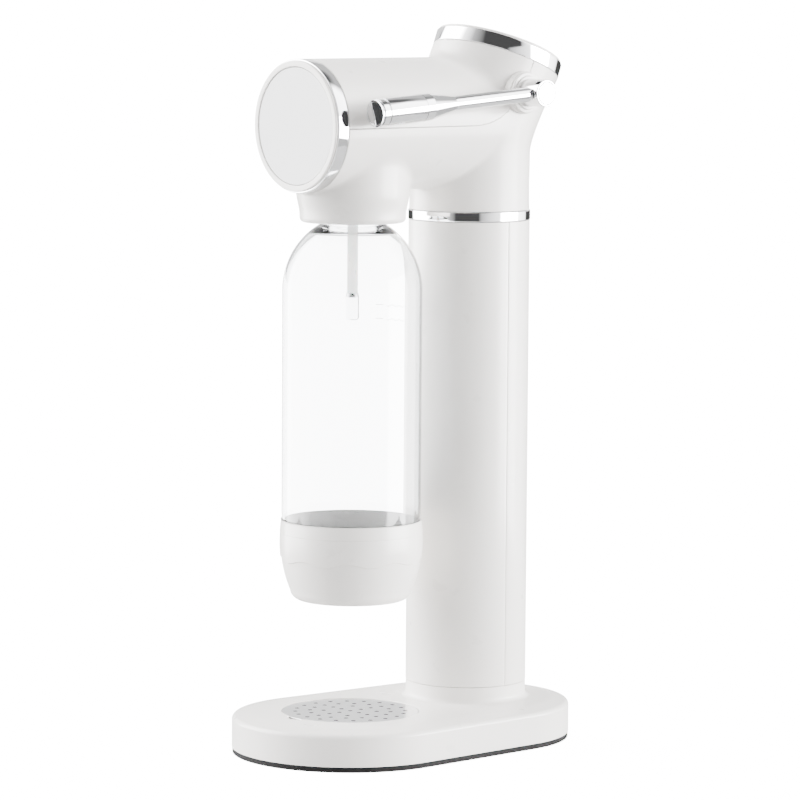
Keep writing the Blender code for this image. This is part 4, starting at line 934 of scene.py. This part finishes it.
class CARBONATOR_OT_lever(bpy.types.Operator):
    """Build the lever: boss, hub, rod and cone, grip and end cap"""
    bl_idname = "carbonator.lever"
    bl_label = "Lever"
    bl_options = {"REGISTER", "UNDO"}

    def execute(self, context):
        across = along_x((0, SHAFT.y, SHAFT.z))
        low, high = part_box("lever_boss")
        boss = turned("lever_boss_ring", [
            (0.0066, low.x, 0), (0.0124, low.x, 0.0003), (0.0124, low.x + 0.0014, 0.0006),
            (0.0102, low.x + 0.0014, 0.0003), (0.0102, high.x, 0.0005), (0.0066, high.x, 0.0003)],
            across, 96)
        keep(boss, "housing", "white", "white_plastic", "lever_boss")
        low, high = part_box("lever_hub")
        radius = spread("lever_hub").z / 2
        hub = turned("lever_hub_barrel", [
            (0.0043, low.x, 0), (radius, low.x, 0.0006), (radius, high.x, 0.0007), (0.0071, high.x, 0.0002),
            (0.0069, high.x - 0.0009, 0.0002), (0, high.x - 0.0009, 0), (0, low.x + 0.0083, 0),
            (0.0043, low.x + 0.0083, 0)], across, 96)
        arm_place = (Matrix.Translation((high.x - 0.0075, SHAFT.y, SHAFT.z))
                     @ Matrix.Rotation(math.radians(90) + ARM_SLOPE, 4, "X"))
        socket = spun([(0, 0.0040), (0.0031, 0.0040), (0.0031, 0.0076), (0.0052, 0.0076), (0.0052, 0.0200),
                       (0, 0.0200)], 48)
        carve(hub, mesh_object("socket", placed(socket, arm_place)))
        even_shading(hub)
        keep(hub, "lever", "chrome", "chrome", "lever_hub")
        cap = turned("lever_hub_cap", rod_corners(0.0066, high.x - 0.0008, high.x + 0.0001, 0.0003),
                     across, 96)
        even_shading(cap)
        keep(cap, "lever", "chrome", "chrome", "hub_cap")
        start, cone, grip = 0.00855, 0.06855, 0.08805
        thick, thin = 0.00825, 0.0045
        arm = turned("lever_rod", [
            (0, 0.0042, 0), (0.0027, 0.0042, 0), (0.0027, start - 0.0006, 0),
            (0.0040, start - 0.0006, 0.0002), (0.0040, start + 0.0006, 0),
            (thin, start + 0.0007, 0.0003), (thin, cone, 0.0040),
            (thick - 0.0001, grip, 0.0012), (thick, grip + 0.0060, 0), (0, grip + 0.0060, 0)],
            arm_place, 96, 8)
        keep(arm, "lever", "chrome", "chrome", "lever_arm")
        end = grip + 0.0004 + 0.0337 + 0.0003
        handle = turned("lever_grip_tube", [
            (0, grip + 0.0062, 0), (thick, grip + 0.0062, 0.0001), (thick, end - 0.0003, 0.0002),
            (0, end - 0.0003, 0)], arm_place, 96)
        keep(handle, "lever", "chrome", "chrome", "lever_grip")
        tail = end + 0.0062
        end_cap = turned("lever_end_cap", [
            (0, end - 0.0004, 0), (thick - 0.0008, end - 0.0004, 0), (thick - 0.0008, end + 0.0003, 0),
            (thick, end + 0.0004, 0.0003), (thick, tail - 0.0017, 0.0002), (0.0069, tail - 0.0016, 0.0002),
            (0.0069, tail - 0.0009, 0), (thick, tail - 0.0008, 0.0002), (thick, tail, 0.0003),
            (0.0071, tail, 0.0002), (0.0069, tail - 0.0003, 0.0001), (0, tail - 0.0003, 0)],
            arm_place, 96)
        even_shading(end_cap)
        keep(end_cap, "lever", "chrome", "chrome", "grip_end_cap")
        return {"FINISHED"}


class CARBONATOR_OT_bottle(bpy.types.Operator):
    """Build the clear bottle, its white cup with the wavy step, and the printed fill lines"""
    bl_idname = "carbonator.bottle"
    bl_label = "Bottle and cup"
    bl_options = {"REGISTER", "UNDO"}

    def execute(self, context):
        sizes = context.scene.carbonator_sizes
        wall = sizes.bottle_wall
        bottle = mesh_object("bottle_clear", spun(self.outline(wall), sizes.facets), 40)
        keep(bottle, "bottle", "clear", "clear_bottle", "bottle")
        cup = mesh_object("bottle_cup_white", self.cup(sizes), 25)
        keep(cup, "bottle", "white", "white_plastic", "bottle_cup")
        for number, height in enumerate(FILL_LINE_HEIGHTS, 1):
            keep(self.fill_line(f"fill_line_{number}", height), "bottle", "ink", "rubber")
        return {"FINISHED"}

    @staticmethod
    def outline(wall):
        """The bottle's section: blown base, straight side, round shoulder, then the thick neck."""
        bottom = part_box("bottle")[0].z
        radius, arc = BOTTLE_RADIUS, 0.0464
        shoulder, turn = 0.2810, math.radians(56)
        steps = 20
        outer = [(0, bottom + 0.0060), (0.0100, bottom + 0.0040), (0.0200, bottom + 0.0010),
                 (0.0270, bottom), (0.0320, bottom + 0.0015), (0.0355, bottom + 0.0055)]
        outer += [(radius - 0.0030, CUP_RIM - 0.0300), (radius - 0.0012, CUP_RIM - 0.0120),
                  (radius - 0.0001, CUP_RIM + 0.0040)]
        for step in range(steps + 1):
            angle = turn * step / steps
            outer.append((radius - arc * (1 - math.cos(angle)), shoulder + arc * math.sin(angle)))
        neck = 0.0189
        outer += [(0.0204, 0.3203), (0.0196, 0.3209), (neck, 0.3222), (neck, 0.3262), (neck + 0.0011, 0.3268),
                  (neck + 0.0011, 0.3278), (neck, 0.3284)]
        for turn_number in range(3):
            start = 0.3305 + 0.0040 * turn_number
            outer += [(neck - 0.0012, start - 0.0010), (neck + 0.0002, start),
                      (neck + 0.0002, start + 0.0008), (neck - 0.0012, start + 0.0018)]
        outer += [(neck - 0.0012, BOTTLE_MOUTH - 0.0006), (neck - 0.0018, BOTTLE_MOUTH)]
        inside = neck - 0.0040
        inner = [(inside + 0.0004, BOTTLE_MOUTH), (inside, BOTTLE_MOUTH - 0.0005), (inside, 0.3205),
                 (inside + 0.0004, 0.3190), (inside + 0.0014, 0.3180)]
        for step in range(steps - 2, -1, -1):
            angle = turn * step / steps
            inner.append((radius - wall - (arc - wall) * (1 - math.cos(angle)),
                          shoulder + (arc - wall) * math.sin(angle)))
        inner += [(radius - 0.0001 - wall, CUP_RIM + 0.0040), (radius - 0.0012 - wall, CUP_RIM - 0.0120),
                  (radius - 0.0030 - wall, CUP_RIM - 0.0300), (0.0355 - wall, bottom + 0.0060),
                  (0.0316 - wall, bottom + 0.0025 + 0.0005), (0.0270, bottom + wall),
                  (0.0200, bottom + 0.0010 + wall), (0.0100, bottom + 0.0040 + wall),
                  (0, bottom + 0.0060 + wall)]
        return outer + inner

    @staticmethod
    def cup_radius(height):
        """Widest a third of the way down, drawn in towards the bottom."""
        widest = CUP_RIM - 0.0140
        if height > widest:
            return BOTTLE_RADIUS + 0.0012 - 0.0010 * ((height - widest) / 0.0140) ** 2
        return BOTTLE_RADIUS + 0.0012 - 0.0064 * ((widest - height) / (widest - CUP_BOTTOM - 0.0057)) ** 2

    def cup(self, sizes):
        """The cup's outer wall steps in along a wavy line, and in a fine line below the rim."""
        step_height, step_in = CUP_RIM - 0.0234, 0.00060
        heights = [CUP_RIM - 0.0004 - 0.0025 * step for step in range(11)]
        rim_line = CUP_RIM - 0.0078
        outer = [(self.cup_radius(CUP_RIM) - 0.0002, CUP_RIM)]
        outer += [(self.cup_radius(height), height) for height in heights if height > rim_line + 0.0005]
        outer += [(self.cup_radius(rim_line), rim_line + 0.0001),
                  (self.cup_radius(rim_line) - 0.00022, rim_line - 0.0001)]
        outer += [(self.cup_radius(height) - 0.0001, height) for height in heights
                  if step_height + 0.0008 < height < rim_line - 0.0005]
        outer += [(self.cup_radius(step_height), step_height + 0.0002),
                  (self.cup_radius(step_height) - 0.0002, step_height),
                  (self.cup_radius(step_height) - step_in, step_height - 0.0002),
                  (self.cup_radius(step_height - 0.0010) - step_in, step_height - 0.0010)]
        low = CUP_BOTTOM + 0.0060
        span = step_height - 0.0025 - low
        outer += [(self.cup_radius(low + span * step / 7) - step_in * (0.4 + 0.6 * step / 7),
                   low + span * step / 7) for step in range(7, -1, -1)]
        edge = outer[-1][0]
        fillet = 0.0060
        for step in range(1, 9):
            angle = math.radians(82) * step / 8
            outer.append((edge - 0.0008 * step / 8 - fillet * (1 - math.cos(angle)),
                          low - fillet * math.sin(angle)))
        outer += [(edge - 0.0085, CUP_BOTTOM + 0.0001), (0.0240, CUP_BOTTOM), (0.0230, CUP_BOTTOM + 0.0006),
                  (0, CUP_BOTTOM + 0.0006)]
        floor = CUP_BOTTOM + 0.0022
        inner = [(0, floor), (0.0260, floor), (0.0330, CUP_BOTTOM + 0.0060),
                 (BOTTLE_RADIUS - 0.0024, CUP_RIM - 0.0300), (BOTTLE_RADIUS - 0.0006, CUP_RIM - 0.0120),
                 (BOTTLE_RADIUS + 0.0003, CUP_RIM - 0.0006), (BOTTLE_RADIUS + 0.0005, CUP_RIM)]
        bm = spun(outer + inner, 144)
        for vert in bm.verts:
            reach = vert.co.xy.length
            if reach < self.cup_radius(vert.co.z) - 0.0010:
                continue
            away = abs(vert.co.z - step_height) / 0.0100
            if away < 1:
                fade = (1 - away ** 2) ** 2
                angle = math.atan2(vert.co.y, vert.co.x)
                shift = sizes.wave_height * fade * math.cos(sizes.wave_count * angle + 0.35)
                slope = self.cup_radius(vert.co.z + shift) - self.cup_radius(vert.co.z)
                vert.co.z += shift
                vert.co.xy *= (reach + slope) / reach
        return bm

    @staticmethod
    def fill_line(name, height):
        """A fine wavy line printed on the bottle's far side, with a short bar before it."""
        bm = bmesh.new()
        radius = BOTTLE_RADIUS + 0.00006
        width = 0.00032
        for first, last, waves, steps in ((74.0, 110.0, 4.7, 72), (113.5, 120.5, 0, 6)):
            points = []
            for step in range(steps + 1):
                share = step / steps
                angle = math.radians(first + (last - first) * share)
                rise = 0.00055 * math.cos(2 * math.pi * waves * share) if waves else 0.0003
                points.append(bm.verts.new((radius * math.cos(angle), radius * math.sin(angle),
                                            height + rise)))
            for a, b in zip(points, points[1:]):
                bm.edges.new((a, b))
        lifted = bmesh.ops.extrude_edge_only(bm, edges=bm.edges[:])
        bmesh.ops.translate(bm, vec=(0, 0, width),
                            verts=[item for item in lifted["geom"] if isinstance(item, bmesh.types.BMVert)])
        bmesh.ops.recalc_face_normals(bm, faces=bm.faces)
        bmesh.ops.solidify(bm, geom=bm.faces[:], thickness=0.00005)
        return mesh_object(name, bm)


class CARBONATOR_OT_carbonation(bpy.types.Operator):
    """Build the carbonating tube, its metal tip, the bottle socket and the mouth seal"""
    bl_idname = "carbonator.carbonation"
    bl_label = "Carbonating tube"
    bl_options = {"REGISTER", "UNDO"}

    def execute(self, context):
        low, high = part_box("carbonating_tube")
        radius = spread("carbonating_tube").x / 2
        tube = turned("carbonating_tube_nylon", ring_corners(0.0015, radius, low.z, high.z, 0.0002), steps=64)
        keep(tube, "housing", "nylon", "nylon", "carbonating_tube")
        low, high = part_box("tube_tip")
        radius = spread("tube_tip").x / 2
        tip = turned("carbonating_tip", [
            (0.0005, low.z, 0.0001), (radius, low.z, 0.0021), (radius, high.z - 0.0020, 0.0040),
            (radius - 0.0006, high.z, 0.0002), (0.0005, high.z, 0)], steps=64, segments=8)
        keep(tip, "housing", "chrome", "chrome", "tube_tip")
        low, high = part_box("socket_insert")
        outer = spread("socket_insert").x / 2
        insert = turned("socket_sleeve", [
            (0.0209, low.z + 0.0010, 0.0008), (outer, low.z + 0.0010, 0.0004),
            (outer, high.z - 0.0060, 0.0010), (0.0240, high.z, 0.0008), (0.0209, high.z, 0.0004)], steps=96)
        keep(insert, "housing", "inner", "inner_plastic", "socket_insert")
        low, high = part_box("mouth_seal")
        outer = spread("mouth_seal").x / 2
        seal = turned("mouth_seal_ring", ring_corners(0.0036, outer, low.z, high.z, 0.0006), steps=64)
        keep(seal, "housing", "rubber", "rubber", "mouth_seal")
        return {"FINISHED"}


class CARBONATOR_OT_gas_cylinder(bpy.types.Operator):
    """Build the gas cylinder, its seat and the curved spine that holds it"""
    bl_idname = "carbonator.gas_cylinder"
    bl_label = "Gas cylinder"
    bl_options = {"REGISTER", "UNDO"}

    def execute(self, context):
        axis = Matrix.Translation((0, COLUMN_Y, 0))
        low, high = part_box("co2_cylinder")
        radius, neck = spread("co2_cylinder").x / 2, 0.0120
        shoulder = high.z - 0.0350
        outline = [(0, low.z + 0.0050), (0.0150, low.z + 0.0042), (0.0225, low.z + 0.0008),
                   (0.0245, low.z), (0.0275, low.z + 0.0008), (0.0292, low.z + 0.0026),
                   (radius, low.z + 0.0055)]
        for step in range(13):
            angle = math.pi / 2 * step / 12
            outline.append((neck + 0.0030 + (radius - neck - 0.0030) * math.cos(angle),
                            shoulder + 0.0240 * math.sin(angle)))
        outline += [(neck + 0.0006, high.z - 0.0098), (neck, high.z - 0.0080), (neck, high.z - 0.0004),
                    (neck - 0.0004, high.z), (0.0060, high.z), (0.0060, shoulder + 0.0200),
                    (radius - 0.0080, shoulder), (radius - 0.0045, shoulder - 0.0100),
                    (radius - 0.0045, low.z + 0.0110), (0.0200, low.z + 0.0095), (0, low.z + 0.0095)]
        bottle = mesh_object("gas_cylinder", placed(spun(outline, 96), axis), 35)
        keep(bottle, "housing", "paint", "cylinder_paint", "co2_cylinder")
        low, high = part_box("cylinder_seat")
        seat = turned("cylinder_seat_pad", rod_corners(spread("cylinder_seat").x / 2, low.z, high.z, 0.0008),
                      axis, 96)
        even_shading(seat)
        keep(seat, "housing", "rubber", "rubber", "cylinder_seat")
        self.spine()
        return {"FINISHED"}

    @staticmethod
    def spine():
        low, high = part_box("spine_frame")
        outer = COLUMN_Y - low.y
        bm = bmesh.new()
        outline = rounded(ring_corners(outer - 0.0026, outer, low.z, high.z, 0.0003), 3)
        points = [bm.verts.new((radius, 0, height)) for radius, height in outline]
        edges = [bm.edges.new((a, b)) for a, b in zip(points, points[1:] + points[:1])]
        half = math.radians(51.5)
        bmesh.ops.rotate(bm, verts=points, cent=(0, 0, 0),
                         matrix=Matrix.Rotation(-math.pi / 2 - half, 3, "Z"))
        bmesh.ops.spin(bm, geom=points + edges, axis=(0, 0, 1), cent=(0, 0, 0), dvec=(0, 0, 0),
                       angle=2 * half, steps=36)
        bmesh.ops.holes_fill(bm, edges=[edge for edge in bm.edges if edge.is_boundary])
        spine = mesh_object("column_spine", placed(bm, Matrix.Translation((0, COLUMN_Y, 0))))
        keep(spine, "housing", "inner", "inner_plastic", "spine_frame")


class CARBONATOR_OT_inner_finishes(bpy.types.Operator):
    """Give the frame pieces that stay as they are, inside the head and base, their real finishes"""
    bl_idname = "carbonator.inner_finishes"
    bl_label = "Inner finishes"
    bl_options = {"REGISTER", "UNDO"}

    def execute(self, context):
        slots = {entry["node"]: entry["material_slot"] for entry in frame["record"]["subparts"]}
        finishes = {"white_plastic": "white", "inner_plastic": "inner", "disc_plastic": "disc",
                    "chrome": "chrome", "steel": "steel", "brass": "brass", "rubber": "rubber",
                    "clear_bottle": "clear", "hose": "hose", "cylinder_paint": "paint", "nylon": "nylon"}
        for name, piece in frame["nodes"].items():
            for slot in piece.material_slots:
                slot.material = finish(finishes[slots[name]])
        return {"FINISHED"}


# The studio's light, as pairs of brightness against heading (0 towards the camera, positive to
# its right) and brightness against height, both in degrees; each pair is multiplied together.
CARDS = (
    (((-180, 0.001), (-134, 0.001), (-131, 0.22), (-84, 0.22), (-72, 0.05), (-50, 0.02), (-26, 0.001),
      (17, 0.001), (23, 0.01), (60, 0.04), (66, 0.60), (102, 0.60), (105, 0.10), (130, 0.06), (134, 0.001),
      (180, 0.001)), ((-90, 0), (-16, 0), (-14, 1), (13, 1), (15, 0), (90, 0))),
    (((-180, 0.01), (-134, 0.01), (-131, 0.20), (-84, 0.24), (-72, 0.05), (-50, 0.01), (-26, 0.001),
      (42, 0.001), (66, 0.08), (100, 0.10), (115, 0.01), (180, 0.01)),
     ((-90, 0), (13, 0), (15, 1), (48, 1), (55, 0.2), (90, 0.1))),
    (((-180, 0.018), (-145, 0.018), (-132, 0), (132, 0), (145, 0.018), (180, 0.018)),
     ((-90, 0), (1, 0), (3, 1), (25, 1), (30, 0), (90, 0))),
    (((-180, 0.06), (-95, 0.06), (-80, 0.01), (180, 0.01)), ((-90, 1), (-16, 1), (-14, 0), (90, 0))),
)


class CARBONATOR_OT_stage(bpy.types.Operator):
    """Set the pale floor, the soft studio light and the camera"""
    bl_idname = "carbonator.stage"
    bl_label = "Stage"
    bl_options = {"REGISTER", "UNDO"}

    def execute(self, context):
        self.floor()
        self.light()
        self.camera()
        return {"FINISHED"}

    @staticmethod
    def floor():
        for name, size, height, seen in (("floor", FLOOR_HALF_WIDTH, 0.0, True),
                                         ("floor_bounce", BOUNCE_HALF_WIDTH, -0.0002, False)):
            bm = bmesh.new()
            bmesh.ops.create_grid(bm, x_segments=1, y_segments=1, size=size)
            bmesh.ops.translate(bm, vec=(0, 0, height), verts=bm.verts)
            mesh = bpy.data.meshes.new(name)
            bm.to_mesh(mesh)
            bm.free()
            made = bpy.data.objects.new(name, mesh)
            bpy.context.collection.objects.link(made)
            mesh.materials.append(finish("floor"))
            made.visible_camera = seen
            made.visible_transmission = seen
            made.visible_diffuse = not seen
            made.visible_glossy = not seen
        bright = finish("floor").copy()
        bright.name = "floor_lit"
        main = bright.node_tree.nodes["Principled BSDF"]
        main.inputs["Emission Color"].default_value = (1, 1, 1, 1)
        main.inputs["Emission Strength"].default_value = FLOOR_GLOW
        bright.cycles.emission_sampling = "NONE"
        bpy.data.objects["floor"].data.materials[0] = bright

    @staticmethod
    def light():
        """White cards round a dark room: a strong low one at the right, a softer one at the left."""
        scene = bpy.context.scene
        scene.world = scene.world or bpy.data.worlds.new("studio")
        scene.world.use_nodes = True
        tree = scene.world.node_tree
        tree.nodes.clear()
        links = tree.links
        coords = node(tree, "ShaderNodeTexCoord")
        heading = math.radians(CARD_HEADING)
        side, ahead = (math.cos(heading), math.sin(heading), 0), (math.sin(heading), -math.cos(heading), 0)
        dots = []
        for axis in (side, ahead, (0, 0, 1)):
            dot = node(tree, "ShaderNodeVectorMath", operation="DOT_PRODUCT")
            dot.inputs[1].default_value = axis
            links.new(coords.outputs["Generated"], dot.inputs[0])
            dots.append(dot.outputs["Value"])
        turn = node(tree, "ShaderNodeMath", operation="ARCTAN2")
        links.new(dots[0], turn.inputs[0])
        links.new(dots[1], turn.inputs[1])
        lift = node(tree, "ShaderNodeMath", operation="ARCSINE")
        links.new(dots[2], lift.inputs[0])
        total = None
        for around, up in CARDS:
            bright = None
            for angle, half, stops in ((turn, 180, around), (lift, 90, up)):
                share = node(tree, "ShaderNodeMapRange", From_Min=-math.radians(half),
                             From_Max=math.radians(half))
                links.new(angle.outputs["Value"], share.inputs["Value"])
                ramp = node(tree, "ShaderNodeValToRGB")
                fill_ramp(ramp.color_ramp, [(place / half / 2 + 0.5, value) for place, value in stops])
                links.new(share.outputs["Result"], ramp.inputs["Fac"])
                bright = joined(tree, "MULTIPLY", bright, ramp.outputs["Color"])
            total = joined(tree, "ADD", total, bright)
        background = node(tree, "ShaderNodeBackground", Strength=CARD_STRENGTH)
        links.new(total, background.inputs["Color"])
        output = node(tree, "ShaderNodeOutputWorld")
        links.new(background.outputs["Background"], output.inputs["Surface"])

    @staticmethod
    def camera():
        data = bpy.data.cameras.new("camera")
        data.lens = LENS
        data.sensor_width = SENSOR_WIDTH
        data.clip_end = 1000
        made = bpy.data.objects.new("camera", data)
        bpy.context.collection.objects.link(made)
        heading, lift, roll = (math.radians(angle) for angle in (VIEW_HEADING, VIEW_LIFT, VIEW_ROLL))
        back = Vector((math.sin(heading) * math.cos(lift), -math.cos(heading) * math.cos(lift),
                       math.sin(lift)))
        right = Vector((math.cos(heading), math.sin(heading), 0))
        up = back.cross(right)
        tilted_right = right * math.cos(roll) - up * math.sin(roll)
        tilted_up = right * math.sin(roll) + up * math.cos(roll)
        place = right * VIEW_RIGHT + Vector((0, 0, VIEW_HEIGHT)) + back * VIEW_DISTANCE
        made.matrix_world = Matrix.Translation(place) @ Matrix(
            (tilted_right, tilted_up, back)).transposed().to_4x4()
        bpy.context.scene.camera = made


def joined(tree, operation, first, second):
    """The sum or product of two values, or the second alone when there is no first yet."""
    if first is None:
        return second
    made = node(tree, "ShaderNodeMath", operation=operation)
    tree.links.new(first, made.inputs[0])
    tree.links.new(second, made.inputs[1])
    return made.outputs["Value"]


def fill_ramp(ramp, stops):
    """Sets a colour ramp's grey stops."""
    ramp.elements[0].position = stops[0][0]
    ramp.elements[1].position = stops[-1][0]
    for position, value in stops[1:-1]:
        ramp.elements.new(position)
    for element, (position, value) in zip(ramp.elements, stops):
        element.position = position
        element.color = (value, value, value, 1)


class CARBONATOR_PT_panel(bpy.types.Panel):
    """The building steps, in order"""
    bl_idname = "CARBONATOR_PT_panel"
    bl_label = "Soda Carbonator"
    bl_space_type = "VIEW_3D"
    bl_region_type = "UI"
    bl_category = "Carbonator"

    def draw(self, context):
        for group in (context.scene.carbonator_sizes, context.scene.carbonator_colours):
            box = self.layout.box()
            for name in group.__annotations__:
                box.prop(group, name)
        for step in STEPS:
            self.layout.operator(step.bl_idname)


STEPS = (
    CARBONATOR_OT_inner_finishes,
    CARBONATOR_OT_base,
    CARBONATOR_OT_tray,
    CARBONATOR_OT_column,
    CARBONATOR_OT_head,
    CARBONATOR_OT_end_caps,
    CARBONATOR_OT_lever,
    CARBONATOR_OT_bottle,
    CARBONATOR_OT_carbonation,
    CARBONATOR_OT_gas_cylinder,
    CARBONATOR_OT_stage,
)
CLASSES = (CarbonatorSizes, CarbonatorColours, *STEPS, CARBONATOR_PT_panel)


def register():
    for cls in CLASSES:
        bpy.utils.register_class(cls)
    bpy.types.Scene.carbonator_sizes = bpy.props.PointerProperty(type=CarbonatorSizes)
    bpy.types.Scene.carbonator_colours = bpy.props.PointerProperty(type=CarbonatorColours)


def unregister():
    del bpy.types.Scene.carbonator_colours
    del bpy.types.Scene.carbonator_sizes
    for cls in reversed(CLASSES):
        bpy.utils.unregister_class(cls)


def main():
    register()
    build = bpy.ops.carbonator
    build.inner_finishes()
    build.base()
    build.tray()
    build.column()
    build.head()
    build.end_caps()
    build.lever()
    build.bottle()
    build.carbonation()
    build.gas_cylinder()
    build.stage()
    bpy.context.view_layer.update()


if __name__ == "__main__":
    main()
